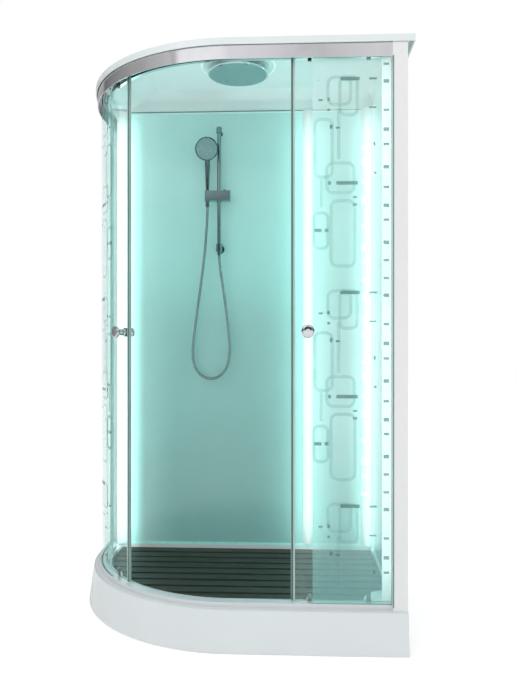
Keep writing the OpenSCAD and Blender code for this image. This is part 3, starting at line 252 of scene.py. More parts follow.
def moulded(name, color, rough, drift=0.94, relief=0.00002, grain=900, **sockets):
    """Plastic, enamel or acrylic: slight colour drift, patchy gloss and a fine orange peel."""
    look = Look(name, color, rough, **sockets)
    cloud = look.remap(look.noise(5), 0.3, 0.7, 0, 1)
    look.wire("Base Color", look.blend(cloud, tinted(color, drift), color))
    look.wire("Roughness", look.remap(look.noise(22, detail=5), 0.3, 0.7, rough * 0.8, rough * 1.2))
    return look.relief(look.noise(grain, detail=2), relief, 0.5)


def metal(name, color, rough, stretch=(1, 1, 1), grain=600, relief=0.000008, smudge=1.6):
    """Bare or plated metal: smudged gloss and fine marks drawn out along the section."""
    look = Look(name, color, rough, metallic=1.0)
    mark = look.remap(look.noise(14, detail=6, distortion=0.5), 0.45, 0.75, 0, 1)
    look.wire("Base Color", look.blend(mark, color, tinted(color, 0.92)))
    look.wire("Roughness", look.remap(look.noise(9, detail=6), 0.35, 0.7, rough, rough * smudge))
    return look.relief(look.noise(grain, stretch, detail=2), relief, 0.4)


def acrylic():
    """White acrylic of the tray and apron."""
    return moulded("acrylic_white", paint("acrylic"), 0.2, drift=0.97, coat_weight=0.4, coat_roughness=0.06)


def galvanised():
    """Hot-dip zinc with its crystal spangle."""
    look = metal("zinc_spangle", (0.55, 0.57, 0.58), 0.42)
    cell = look.remap(look.cells(90), 0.1, 0.9, 0, 1)
    look.wire("Base Color", look.blend(cell, (0.47, 0.49, 0.5), (0.66, 0.68, 0.69)))
    look.wire("Roughness", look.remap(look.cells(90), 0.1, 0.9, 0.34, 0.55))
    return look


def thread():
    """Zinc-plated stud with its thread as relief."""
    look = metal("zinc_thread", (0.6, 0.58, 0.5), 0.3)
    return look.relief(look.bands(181.437, "Z"), 0.0005)


def rubber():
    """Black rubber of the feet, dusty in patches."""
    look = moulded("rubber_black", (0.018, 0.018, 0.019), 0.75, relief=0.00008, grain=1400)
    dust = look.remap(look.noise(35, detail=6), 0.5, 0.8, 0, 0.5)
    return look.wire("Base Color", look.blend(dust, (0.018, 0.018, 0.019), (0.09, 0.088, 0.083)))


def deck():
    """Dark decking board: fine grain along each slat, paler worn patches, and painted shade along its rear
    edge beside the gap.
    """
    dark, worn, edge_shade = paint("deck"), (0.050, 0.056, 0.043), (0.003, 0.004, 0.003)
    look = Look("deck_board", dark, 0.5, specular_ior_level=0.35)
    grain = look.noise(60, (0.12, 1.6, 1), detail=6)
    wear = look.remap(look.noise(7, (0.4, 1, 1), detail=4), 0.4, 0.75, 0, 0.8)
    board = look.blend(wear, look.blend(grain, tinted(dark, 0.85), tinted(dark, 1.2)), worn)
    # Painted shade: a near-black band along each board's rear edge, where the gap throws shade
    moved = look.node("ShaderNodeMapping", Vector=look.coord, Location=(0, -BOARD_START, 0)).outputs["Vector"]
    back = look.node("ShaderNodeMath", Value=look.node("ShaderNodeSeparateXYZ", Vector=moved).outputs["Y"])
    back.operation = "WRAP"
    back.inputs[1].default_value, back.inputs[2].default_value = 0.0, -BOARD_PITCH
    edge = look.remap(back.outputs[0], -BOARD_EDGE_SHADE, -BOARD_EDGE_SHADE / 2, 0, 1)
    look.wire("Base Color", look.blend(edge, board, edge_shade))
    look.wire("Roughness", look.remap(grain, 0.3, 0.7, 0.42, 0.62))
    return look.relief(grain, 0.0004, 0.5)


def under_deck():
    """Black bearers under the boards."""
    return moulded("deck_under", (0.005, 0.006, 0.005), 0.7, specular_ior_level=0.1)


def rail():
    """Bright anodised aluminium of the top rail, drawn lines along the section."""
    return metal("rail_bright", (0.82, 0.82, 0.84), 0.12, (1, 1, 9), grain=320, relief=0.000006, smudge=1.4)


def satin_rail():
    """Pale satin aluminium of the bottom rail."""
    look = Look("rail_satin", (0.76, 0.78, 0.80), 0.42, metallic=0.35)
    drawn = look.noise(11, (1, 1, 3), detail=4)
    look.wire("Base Color", look.blend(drawn, (0.72, 0.74, 0.77), (0.79, 0.80, 0.82)))
    look.wire("Roughness", look.remap(look.noise(9, detail=6), 0.35, 0.7, 0.36, 0.5))
    return look.relief(look.noise(320, (1, 1, 9), detail=2), 0.000008, 0.4)


def coated_post():
    """White powder coat of the posts."""
    return moulded("post_coat", paint("post"), 0.34, drift=0.985, relief=0.00003, grain=1600,
                   coat_weight=0.2, coat_roughness=0.2)


def chrome(name="chrome_bright", color=(0.72, 0.75, 0.77), rough=0.06):
    """Chrome plate with dried water marks."""
    look = metal(name, color, rough, smudge=2.2)
    spots = look.node("ShaderNodeTexVoronoi", Vector=look.coord, Scale=160.0, Randomness=1.0)
    ring = look.remap(spots.outputs["Distance"], 0.05, 0.13, 1, 0)
    patch = look.remap(look.noise(18), 0.55, 0.65, 0, 0.6)
    return look.wire("Base Color", look.blend(look.times(ring, patch), color, tinted(color, 0.88)))


def hose_sleeve_painted_reflection():
    """Wound metal sleeve of the hose, bright on its ribs; its dark sea-green colour is painted reflection of
    the room.
    """
    return metal("hose_sleeve_painted_reflection", (0.30, 0.37, 0.37), 0.16, grain=900, smudge=1.8)


def glass(name, color, alpha, low=0.85, high=1.2, foot=None):
    """Toughened pane: thin green tint, faint dried drops and a soft drift in how much it hides."""
    look = Look(name, color, 0.03, ior=1.9, alpha=alpha, specular_ior_level=0.8)
    # A foot colour is painted shade: the pane darker towards its bottom
    if foot:
        height = look.node("ShaderNodeSeparateXYZ", Vector=look.coord).outputs["Z"]
        look.wire("Base Color", look.blend(look.remap(height, *PANE_SHADE_HEIGHTS, 0, 1), foot, color))
    film = look.remap(look.noise(6, (1, 1, 0.5), detail=5), 0.3, 0.75, alpha * low, alpha * high)
    look.wire("Alpha", film)
    look.wire("Roughness", look.remap(look.noise(40, (1, 1, 0.4), detail=4), 0.4, 0.75, 0.02, 0.12))
    look.mat.surface_render_method = "BLENDED"
    return look.relief(look.noise(3), 0.0004, 0.15)


def clear_plastic():
    """Soft clear seal, a little cloudy."""
    look = Look("seal_soft", (0.62, 0.76, 0.73), 0.3, alpha=0.5)
    look.wire("Alpha", look.remap(look.noise(30, (1, 1, 0.15)), 0.3, 0.7, 0.4, 0.6))
    look.mat.surface_render_method = "BLENDED"
    return look.relief(look.noise(200, (1, 1, 0.1)), 0.0001, 0.4)


def wall():
    """Sea-green glossy panel with painted light: a painted glow round each lamp and along its top edge."""
    color = paint("wall")
    look = Look("wall_gloss", color, 0.2, coat_weight=0.35, coat_roughness=0.08, ior=1.5,
                emission_color=(0.80, 1.0, 0.98))
    look.wire("Base Color", look.blend(look.remap(look.noise(2.2), 0.3, 0.7, 0, 1), tinted(color, 0.96),
                                       tinted(color, 1.04)))
    look.wire("Roughness", look.remap(look.noise(16, (1, 1, 0.35), detail=6), 0.35, 0.75, 0.16, 0.28))
    # Painted light: this emission stands for a pool of lamp light near each column and for light along the
    # top edge
    height = look.node("ShaderNodeSeparateXYZ", Vector=look.coord).outputs["Z"]
    glow = look.remap(height, *WALL_TOP_PAINTED_LIGHT)
    for x, y, _, _, painted_pool in LAMP_SPOTS:
        reach = look.node("ShaderNodeVectorMath", Vector=look.place((1, 1, 0)))
        reach.operation = "DISTANCE"
        reach.inputs[1].default_value = (x, y, 0)
        near = look.remap(reach.outputs["Value"], *PAINTED_POOL_REACH, math.sqrt(painted_pool), 0)
        glow = look.plus(glow, look.times(near, near))
    look.wire("Emission Strength", look.remap(glow, 0, 4, 0, 4 * WALL_PAINTED_LIGHT))
    return look.relief(look.noise(4), 0.0005, 0.1)


def ceiling_ring():
    """Satin trim ring let into the ceiling, with a faint painted glow of lamp light."""
    # Its faint emission is painted light: the ring itself is no lamp
    return moulded("ring_pale_painted_glow", (0.78, 0.9, 0.87), 0.25, emission_color=(0.8, 1.0, 0.96),
                   emission_strength=0.12)


def lamp(strength):
    """Lit diffuser: milky cover, dimmer past the ends of the tape inside."""
    look = Look("lamp_cover", (0.22, 0.26, 0.255), 0.35, emission_color=paint("lamp"))
    place = look.node("ShaderNodeSeparateXYZ", Vector=look.coord).outputs
    foot = look.remap(place["Z"], *LAMP_FOOT, LAMP_END, 1)
    top = look.remap(place["Z"], *LAMP_TOP, 1, LAMP_END)
    glow = look.times(look.times(foot, top), look.remap(look.noise(60, (1, 1, 0.5)), 0.2, 0.8, 0.96, 1.04))
    level, near, far = FRONT_COVER
    glow = look.times(glow, look.remap(place["Y"], near, far, 1, 1 / level))
    look.wire("Emission Strength", look.remap(glow, 0, 1, 0, strength * level))
    return look.relief(look.bands(76.394, "Z"), 0.00012, 0.3)


def spray_face():
    """Grey-green spray plate with pale soft nozzles scattered over it."""
    plate, nozzle = (0.20, 0.34, 0.345), (0.46, 0.62, 0.62)
    look = moulded("spray_plate", plate, 0.34, relief=0.00005, grain=1200)
    dots = look.node("ShaderNodeTexVoronoi", Vector=look.coord, Scale=105.0, Randomness=0.55)
    look.wire("Base Color", look.blend(look.remap(dots.outputs["Distance"], 0.16, 0.24, 1, 0), plate, nozzle))
    return look


def nylon():
    """White nylon roller, greyed where it runs."""
    look = moulded("nylon_roller", (0.75, 0.76, 0.75), 0.4)
    worn = look.remap(look.noise(120, detail=4), 0.5, 0.75, 0, 0.6)
    return look.wire("Base Color", look.blend(worn, (0.75, 0.76, 0.75), (0.52, 0.53, 0.52)))


def print_ink(name, color, alpha, glow=0.0):
    """Ceramic print on glass, a little broken at its edges. Frosted patches over a lamp get a painted glow,
    as emission, for the lamp's light shining through them.
    """
    look = Look(name, color, 0.45, alpha=alpha, emission_color=(0.9, 1.0, 0.98), emission_strength=glow)
    look.wire("Alpha", look.remap(look.noise(420, detail=3), 0.35, 0.6, alpha * 0.8, alpha))
    look.mat.surface_render_method = "BLENDED"
    return look.wire("Base Color", look.blend(look.noise(90), tinted(color, 0.9), tinted(color, 1.1)))


LOOKS = {
    "acrylic": acrylic,
    "roof": lambda: moulded("roof_white", (0.80, 0.855, 0.86), 0.2, drift=0.97, coat_weight=0.4,
                            coat_roughness=0.06),
    "galvanised": galvanised,
    "thread": thread,
    "rubber": rubber,
    "deck": deck,
    "under_deck": under_deck,
    "trap": lambda: moulded("trap_grey", (0.36, 0.38, 0.4), 0.4),
    "rail": rail,
    "satin": satin_rail,
    "post": coated_post,
    "chrome": chrome,
    # Darker sea-green copies of chrome and polished steel: their colour is painted reflection of the dark
    # front and the sea-green walls
    "chrome_painted_dark": lambda: chrome("chrome_painted_reflection", (0.19, 0.29, 0.295), 0.08),
    "handset": lambda: chrome("chrome_handset_painted_reflection", (0.13, 0.19, 0.19), 0.08),
    "steel": lambda: metal("steel_polished", (0.27, 0.35, 0.355), 0.1, (1, 1, 0.1), relief=0.00001),
    "hose": hose_sleeve_painted_reflection,
    "clear": lambda: glass("glass_clear", paint("door_glass"), 0.09),
    "side": lambda: glass("glass_side", paint("side_glass"), 0.12, 0.95, 1.05),
    # The deep foot colour is painted shade at the bottom of the right pane
    "hazy": lambda: glass("glass_hazy", paint("hazy_glass"), 0.24, 0.95, 1.05, (0.24, 0.66, 0.63)),
    "seal": clear_plastic,
    "wall": wall,
    "profile": lambda: metal("lamp_profile", (0.78, 0.8, 0.8), 0.3),
    "spray": spray_face,
    "pipe": lambda: moulded("pipe_white", (0.7, 0.72, 0.72), 0.38),
    "driver": lambda: moulded("driver_case", (0.62, 0.63, 0.63), 0.5, relief=0.00006, grain=700),
    "black": lambda: moulded("gasket_black", (0.015, 0.016, 0.017), 0.5, relief=0.00004, grain=1500),
    "nylon": nylon,
    "cap": lambda: moulded("cap_pale", (0.74, 0.93, 0.90), 0.3, drift=0.97),
    # Dark sea-green strip: the wall cap's seal, and also the painted shade strip beside the right post
    "lip": lambda: moulded("seal_and_painted_shade", (0.12, 0.24, 0.225), 0.5),
    "trim": lambda: moulded("trim_sea", (0.52, 0.97, 0.93), 0.3, drift=0.97),
    "ring": ceiling_ring,
    "magnet": lambda: moulded("magnet_strip", (0.045, 0.125, 0.112), 0.5),
    "ink": lambda: print_ink("print_line", paint("print_line"), 0.26),
    "ink_dark": lambda: print_ink("print_dash", paint("print_dash"), 0.72),
    # Frosted patches: their emission is a painted glow of the lamp behind them
    "frost": lambda: print_ink("print_frost_painted_glow", (0.9, 0.96, 0.95), 0.4, 0.4),
}


def look(name):
    """The named material, made once."""
    made = bpy.data.materials.get("cabin_" + name)
    if made is None:
        made = LOOKS[name]().mat
        made.name = "cabin_" + name
    return made


def finish_nodes(names, material):
    """Gives carried-over CAD nodes their material."""
    for name in names:
        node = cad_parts.get(name)
        if node is None:
            raise RuntimeError(f"the frame has no node {name}")
        node.data.materials.clear()
        node.data.materials.append(material)


def add_mesh(name, verts, faces, material, smooth=False):
    """A mesh object at the origin, with one material."""
    mesh = bpy.data.meshes.new(name)
    mesh.from_pydata(np.asarray(verts, float).tolist(), [], [np.asarray(face).tolist() for face in faces])
    mesh.polygons.foreach_set("use_smooth", [smooth] * len(mesh.polygons))
    mesh.materials.append(material)
    mesh.update()
    made = bpy.data.objects.new(name, mesh)
    bpy.context.scene.collection.objects.link(made)
    return made


def make_piece(name, verts, faces, material, body, slot, smooth=False):
    """A mesh piece that rides on a body."""
    piece = add_mesh(name, verts, faces, material, smooth)
    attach(piece, body)
    return piece


def area_light(name, watts, place, turn, size, unseen, color=(1.0, 1.0, 1.0), spread=180):
    """A rectangular light, size in metres and spread in degrees, that some kinds of ray don't meet."""
    data = bpy.data.lights.new(name, "AREA")
    data.energy, data.color, data.spread = watts, color, math.radians(spread)
    data.shape = "RECTANGLE"
    data.size, data.size_y = size
    light = bpy.data.objects.new(name, data)
    light.location, light.rotation_euler = place, turn
    for ray in unseen:
        setattr(light, f"visible_{ray}", False)
    bpy.context.scene.collection.objects.link(light)


def grid_faces(rows, cols, close_cols=True):
    """Quads of a grid numbered row by row: (i, j), (i, j + 1), (i + 1, j + 1), (i + 1, j)."""
    i, j = np.mgrid[:rows - 1, :cols if close_cols else cols - 1]
    a, b = i * cols + j, i * cols + (j + 1) % cols
    return np.stack([a, b, b + cols, a + cols], axis=-1).reshape(-1, 4)


def catmull_rom(points, steps):
    """Smooth curve through points, on each stretch from b to c, with a before and d after it:
    p(t) = (2b + (c - a)t + (2a - 5b + 4c - d)t^2 + (3b - a - 3c + d)t^3) / 2."""
    pts = np.vstack([2 * points[0] - points[1], points, 2 * points[-1] - points[-2]])
    a, b, c, d = (pts[k:len(pts) - 3 + k, None] for k in range(4))
    t = np.linspace(0, 1, steps, endpoint=False)[:, None]
    run = (2 * b + (c - a) * t + (2 * a - 5 * b + 4 * c - d) * t**2 + (3 * b - a - 3 * c + d) * t**3) / 2
    return np.vstack([run.reshape(-1, 3), pts[-2]])


def even_steps(path, step):
    """Points along a path at equal distances, by its running length, and that length."""
    along = np.append(0, np.cumsum(np.linalg.norm(np.diff(path, axis=0), axis=1)))
    count = max(2, int(round(along[-1] / step)) + 1)
    at = np.linspace(0, along[-1], count)
    return np.column_stack([np.interp(at, along, path[:, k]) for k in range(3)]), along[-1]


def tube(path, radius, sides, up=(0, 1, 0)):
    """Closed tube: point(i, j) = path[i] + radius[i] (cos(a) side + sin(a) rise), a = tau j / sides."""
    ahead = np.gradient(path, axis=0)
    ahead /= np.linalg.norm(ahead, axis=1)[:, None]
    side = np.cross(ahead, np.array(up, float))
    side /= np.linalg.norm(side, axis=1)[:, None]
    rise = np.cross(ahead, side)
    turn = np.linspace(0, math.tau, sides, endpoint=False)[None, :, None]
    ring = np.cos(turn) * side[:, None] + np.sin(turn) * rise[:, None]
    verts = (path[:, None] + radius[:, None, None] * ring).reshape(-1, 3)
    first, last = np.arange(sides), np.arange(len(verts) - sides, len(verts))
    return verts, [*grid_faces(len(path), sides), first[::-1], last]


def left_plan(along, out):
    """Plan points on the left pane's outer face, along metres from its free edge. Round the corner they are
    centre - radius (sin(a), cos(a)), a = start + along / radius, and past the bend they run straight back."""
    radius = CORNER_R - FIXED_SET
    bend = (math.pi / 2 - LEFT_PANE_START) * radius
    turn = LEFT_PANE_START + np.minimum(along, bend) / radius
    return (ARC_X - (radius + out) * np.sin(turn),
            ARC_Y - (radius + out) * np.cos(turn) + np.maximum(along - bend, 0))


def right_plan(along, out):
    """Plan points on the right pane's outer face, along metres from its free edge."""
    return RIGHT_PANE_X + along, np.full_like(along, FRONT_Y + FIXED_SET - out)


def rounded_loop(x0, z0, x1, z1, radius, steps=7):
    """Closed outline of a rounded rectangle: a quarter turn, radius (cos(a), sin(a)), about each corner."""
    left, right, low, high = x0 + radius, x1 - radius, z0 + radius, z1 - radius
    centres = np.array([(right, high), (left, high), (left, low), (right, low)])
    turn = np.radians(90 * np.arange(4)[:, None] + np.linspace(0, 90, steps))
    return (centres[:, None] + radius * np.stack([np.cos(turn), np.sin(turn)], axis=-1)).reshape(-1, 2)


def ribbon(points, width, plan, out, longest=0.02):
    """A flat closed band on a pane: half its width to each side of an outline, cut to follow a bend."""
    side = np.roll(points, -1, axis=0) - points
    count = np.maximum(1, (np.hypot(*side.T) / longest).astype(int))
    at = np.repeat(np.arange(len(points)), count)
    part = (np.arange(len(at)) - np.repeat(np.cumsum(count) - count, count)) / count[at]
    line = points[at] + side[at] * part[:, None]
    ahead = np.roll(line, -1, axis=0) - np.roll(line, 1, axis=0)
    ahead /= np.linalg.norm(ahead, axis=1)[:, None]
    aside = np.column_stack([ahead[:, 1], -ahead[:, 0]]) * width / 2
    along, z = np.stack([line - aside, line + aside], axis=1).reshape(-1, 2).T
    return np.column_stack([*plan(along, out), z]), grid_faces(len(line) + 1, 2, close_cols=False) % len(z)


def bar_patch(x0, z0, x1, z1, plan, out, strip=0.012):
    """A flat upright patch on a pane, in strips that follow its bend: point(i, j) lies on the plan at
    x0 + (x1 - x0) j / n, and at the height z0 or z1."""
    cols = max(2, int((x1 - x0) / strip) + 2)
    along, z = np.meshgrid(np.linspace(x0, x1, cols), (z0, z1))
    return np.column_stack([*plan(along.ravel(), out), z.ravel()]), grid_faces(2, cols, close_cols=False)


def merged(parts):
    """Joins meshes into one: each one's faces are numbered on from the last one's points."""
    firsts = np.cumsum([0] + [len(verts) for verts, _ in parts])
    return (np.vstack([verts for verts, _ in parts]),
            np.vstack([faces + first for (_, faces), first in zip(parts, firsts)]))


def prism(plan, low, high):
    """A closed upright solid: a plan, run round to the left, at two heights, with a face at each end."""
    count = len(plan)
    verts = np.column_stack([np.tile(plan, (2, 1)), np.repeat((low, high), count)])
    return verts, [*grid_faces(2, count), np.arange(count)[::-1], np.arange(count, 2 * count)]


def block(box):
    """An upright closed box from its two opposite corners."""
    (x0, y0, z0), (x1, y1, z1) = box
    return prism([(x0, y0), (x1, y0), (x1, y1), (x0, y1)], z0, z1)


def color_property(name, description, default):
    """A colour that the user may change."""
    return FloatVectorProperty(name=name, description=description, default=default, size=3, min=0.0, max=1.0,
                               subtype="COLOR")


class CabinColors(bpy.types.PropertyGroup):
    """Colours of the cabin's surfaces."""

    acrylic: color_property("Acrylic", "White acrylic of the tray and apron", (0.77, 0.81, 0.82))
    post: color_property("Posts", "Powder coat of the posts", (0.83, 0.84, 0.845))
    deck: color_property("Deck", "Boards of the deck where they aren't worn", (0.032, 0.036, 0.026))
    wall: color_property("Walls", "Glossy wall panels", (0.300, 0.580, 0.548))
    lamp: color_property("Lamps", "Glow of the light columns' covers", (0.80, 1.0, 0.97))
    door_glass: color_property("Door glass", "Tint of the doors", (0.55, 0.86, 0.81))
    side_glass: color_property("Left pane", "Tint of the left fixed pane", (0.36, 0.98, 0.92))
    hazy_glass: color_property("Right pane", "Tint of the right pane above its foot", (0.76, 0.98, 0.95))
    print_line: color_property("Printed lines", "Rounded lines on the fixed panes", (0.26, 0.52, 0.49))
    print_dash: color_property("Printed dashes", "Dark dashes on the fixed panes", (0.1, 0.22, 0.21))


class CabinSizes(bpy.types.PropertyGroup):
    """Sizes of the pieces that are added to the frame."""

    hose_diameter: FloatProperty(name="Hose diameter", description="Outside diameter of the hose",
                                 default=0.012, min=0.008, max=0.016, unit="LENGTH")
    hose_pitch: FloatProperty(name="Hose pitch", description="Distance from one rib of the hose to the next",
                              default=0.0032, min=0.002, max=0.006, unit="LENGTH")
    hose_sides: IntProperty(name="Hose sides", description="Sides of the hose's rings", default=20, min=8,
                            max=32)
    line_width: FloatProperty(name="Line width", description="Width of the printed lines", default=0.011,
                              min=0.004, max=0.02, unit="LENGTH")
    print_repeat: FloatProperty(name="Print repeat", description="Height after which the print repeats",
                                default=0.72, min=0.4, max=1.0, unit="LENGTH")
    ring_radius: FloatProperty(name="Ring radius", description="Radius of the ceiling's trim ring",
                               default=0.146, min=0.13, max=0.2, unit="LENGTH")


class CabinLights(bpy.types.PropertyGroup):
    """Strength of the lamps and of the studio."""

    lamp_strength: FloatProperty(name="Lamp strength", description="Glow of the light columns' covers",
                                 default=0.78, min=0.0, max=20.0)
    lamp_power: FloatProperty(name="Lamp power", description="Power of the light that one column gives",
                              default=2.3, min=0.0, subtype="POWER")
    room_light: FloatProperty(name="Room light", description="Soft light from all round", default=0.72,
                              min=0.0, max=3.0)
    key_power: FloatProperty(name="Key light", description="Power of the large light in front", default=38.0,
                             min=0.0, subtype="POWER")


class CABIN_OT_stage(bpy.types.Operator):
    """Camera at the photograph's viewpoint, soft light, floor and background"""

    bl_idname = "cabin.stage"
    bl_label = "Stage"

    # Half the floor's side, and the greys of its faint mottling
    FLOOR_HALF, FLOOR_GREYS = 14.0, (0.90, 0.92)
    # Large lights in front: name, place, share of the key light's power, and side. Then the point they face
    FRONT_LIGHTS = (("key", (-2.4, -3.4, 3.2), 1.0, 2.6), ("fill", (2.8, -3.0, 2.4), 0.6, 2.4))
    FACED = (0, 0, 1.0)
    # Colour of the cards that only gloss sees, and for each its name, two opposite corners, and its first and
    # last grey
    CARD_COLOR = (0.985, 0.985, 1.0)
    CARDS = (
        ("card_left", (-3.5, -3.2, 0.5), (-3.5, 2.5, 5.0), 0.60, 0.14),
        ("card_key", (-5.5, -5.6, 2.6), (-1.1, -5.6, 6.5), 1.0, 1.0),
        ("card_high_left", (-1.1, -5.6, 2.9), (-0.1, -5.6, 6.5), 0.95, 0.78),
        ("card_high", (-0.1, -5.6, 2.9), (0.5, -5.6, 6.5), 0.80, 0.58),
        ("card_high_right", (0.5, -5.6, 2.9), (2.6, -5.6, 6.5), 0.62, 1.0),
        ("card_low", (-2.5, -5.6, 0.05), (3.0, -5.6, 1.35), 1.0, 1.0),
        ("card_dark", (-4.0, -5.2, 1.5), (4.5, -5.2, 2.8), 0.05, 0.05))

    def execute(self, context):
        levels = context.scene.cabin_lights
        self.camera(context.scene)
        self.world(context.scene, levels.room_light)
        self.floor()
        self.lights(levels.key_power)
        self.columns(levels.lamp_power)
        for card in self.CARDS:
            self.card(*card)
        return {"FINISHED"}

    def camera(self, scene):
        """Lens and shift that give the photograph's frame."""
        data = bpy.data.cameras.new("photo_camera")
        data.sensor_width = SENSOR_MM
        data.lens = FOCAL_PX / PHOTO_H * SENSOR_MM
        data.shift_y = (HORIZON_PX - PHOTO_H / 2) / PHOTO_H
        data.clip_start = 0.05
        camera = bpy.data.objects.new("photo_camera", data)
        camera.location = CAMERA_AT
        camera.rotation_euler = (math.pi / 2, 0, CAMERA_TURN)
        scene.collection.objects.link(camera)
        scene.camera = camera

    def world(self, scene, strength):
        """White to the eye and through glass, dimmer in gloss and as light."""
        world = bpy.data.worlds.new("studio")
        world.use_nodes = True
        tree = world.node_tree
        tree.nodes.clear()
        path = tree.nodes.new("ShaderNodeLightPath")
        out = tree.nodes.new("ShaderNodeOutputWorld")
        shown = None
        for rays, level in (("", strength), ("Is Glossy Ray", GLOSS_LEVEL), ("Is Transmission Ray", 1.0),
                            ("Is Camera Ray", 1.0)):
            sky = tree.nodes.new("ShaderNodeBackground")
            sky.inputs["Color"].default_value = (1, 1, 1, 1)
            sky.inputs["Strength"].default_value = level
            if rays:
                mix = tree.nodes.new("ShaderNodeMixShader")
                tree.links.new(path.outputs[rays], mix.inputs["Fac"])
                tree.links.new(shown, mix.inputs[1])
                tree.links.new(sky.outputs[0], mix.inputs[2])
            shown = (mix if rays else sky).outputs[0]
        tree.links.new(shown, out.inputs["Surface"])
        scene.world = world
        scene.view_settings.view_transform = "Standard"
        scene.view_settings.look = "None"

    def floor(self):
        """Plain pale floor that keeps the soft shadow."""
        half, (dark, light) = self.FLOOR_HALF, self.FLOOR_GREYS
        pale = Look("stage_floor", (dark,) * 3, 0.6, emission_color=(1, 1, 1))
        pale.wire("Base Color", pale.blend(pale.noise(0.7), (dark,) * 3, (light,) * 3))
        seen = pale.node("ShaderNodeLightPath").outputs["Is Camera Ray"]
        pale.wire("Emission Strength", pale.remap(seen, 0, 1, *FLOOR_GLOW))
        corners = [(-half, -half, 0), (half, -half, 0), (half, half, 0), (-half, half, 0)]
        add_mesh("floor", corners, [(0, 1, 2, 3)], pale.mat)

    def card(self, name, low, high, first, last):
        """An upright card whose grey runs evenly from its first side to its last."""
        (x0, y0, z0), (x1, y1, z1) = low, high
        run = int(abs(y1 - y0) > abs(x1 - x0))
        grey = Look(name, (0, 0, 0), 1.0, specular_ior_level=0.0, emission_color=self.CARD_COLOR)
        along = grey.node("ShaderNodeSeparateXYZ", Vector=grey.coord).outputs["XY"[run]]
        grey.wire("Emission Strength", grey.remap(along, low[run], high[run], first, last))
        corners = [(x0, y0, z0), (x1, y1, z0), (x1, y1, z1), (x0, y0, z1)]
        card = add_mesh(name, corners, [(0, 1, 2, 3)], grey.mat)
        card.visible_camera = card.visible_diffuse = card.visible_transmission = card.visible_shadow = False

    def lights(self, power):
        """Two large soft lights in front, one each side, turned to the cabin's middle."""
        for name, place, share, side in self.FRONT_LIGHTS:
            turn = (Vector(self.FACED) - Vector(place)).to_track_quat("-Z", "Y").to_euler()
            area_light(name, power * share, place, turn, (side, side), ("glossy",))

    def columns(self, power):
        """The light columns' own light, ahead of each cover, and what comes back up from it."""
        unseen = ("camera", "glossy", "transmission")
        for k, (x, y, facing, share, _) in enumerate(LAMP_SPOTS):
            turn = math.radians(facing)
            place = (x - LAMP_AHEAD * math.sin(turn), y - LAMP_AHEAD * math.cos(turn), LAMP_MID)
            area_light(f"column_{k}", power * share, place, (math.pi / 2, 0, -turn), LAMP_SIZE, unseen,
                       LAMP_LIGHT)
        area_light("bounce", power * BOUNCE_SHARE, BOUNCE_AT, (math.pi, 0, 0), BOUNCE_SIZE, unseen,
                   LAMP_LIGHT, BOUNCE_SPREAD)


class CABIN_OT_hose(bpy.types.Operator):
    """Ribbed metal hose from the handset's nut down, round and up to the outlet"""

    bl_idname = "cabin.hose"
    bl_label = "Hose"

    def execute(self, context):
        sizes = context.scene.cabin_sizes
        route = np.vstack([np.array(HOSE_START) + np.array(HOSE_DOWN) / 1000,
                           np.array(HOSE_END) + np.array(HOSE_UP) / 1000])
        path, length = even_steps(catmull_rom(route, HOSE_STEPS), sizes.hose_pitch / len(RIB))
        # Each rib is a rounded crest with a narrow valley after it
        rings = np.array(RIB)[np.arange(len(path)) % len(RIB)]
        rings[:PLAIN_RINGS] = rings[-PLAIN_RINGS:] = min(RIB)
        verts, faces = tube(path, sizes.hose_diameter / 2 * rings, sizes.hose_sides)
        hose = add_mesh("hose", verts, faces, look("hose"), smooth=True)
        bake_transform(hose)
        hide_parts("shower_hose")
        return {"FINISHED"}


class CABIN_OT_tray(bpy.types.Operator):
    """White acrylic tray and apron, dark deck, waste"""

    bl_idname = "cabin.tray"
    bl_label = "Tray"

    def execute(self, context):
        finish_nodes(["tray_shell", "tray_apron"], look("acrylic"))
        self.corner()
        finish_nodes(["deck_slats"], look("deck"))
        finish_nodes(["deck_bearers"], look("under_deck"))
        finish_nodes(["waste_body", "waste_outlet"], look("trap"))
        finish_nodes(["waste_cover"], look("chrome"))
        return {"FINISHED"}

    def corner(self):
        """White ledge in the tray's corner, under the front light column. Its rounded edge is the corner
        + reach (-cos(a), sin(a))."""
        (x, y), turn = CORNER_AT, np.linspace(math.pi / 2, 0, CORNER_STEPS)
        edge = np.column_stack([x - CORNER_REACH * np.cos(turn), y + CORNER_REACH * np.sin(turn)])
        plan = np.vstack([CORNER_AT, edge])
        make_piece("tray_corner", *prism(plan, *CORNER_RISE), look("acrylic"), "cabin", "tray_acrylic")


class CABIN_OT_underframe(bpy.types.Operator):
    """Galvanised frame on threaded feet"""

    bl_idname = "cabin.underframe"
    bl_label = "Underframe"

    def execute(self, context):
        finish_nodes(["underframe"], look("galvanised"))
        finish_nodes(["foot_studs"], look("thread"))
        finish_nodes(["foot_pads"], look("rubber"))
        return {"FINISHED"}


class CABIN_OT_rails(bpy.types.Operator):
    """Bright rails and white posts"""

    bl_idname = "cabin.rails"
    bl_label = "Rails and posts"

    def execute(self, context):
        finish_nodes(["top_rail"], look("rail"))
        finish_nodes(["bottom_rail"], look("satin"))
        finish_nodes(["left_post", "right_post"], look("post"))
        # A dark strip on the post's inner edge: painted shade of the gap between post and pane
        make_piece("post_shade_strip", *block(POST_SHADE_STRIP), look("lip"), "cabin", "seal_clear")
        return {"FINISHED"}


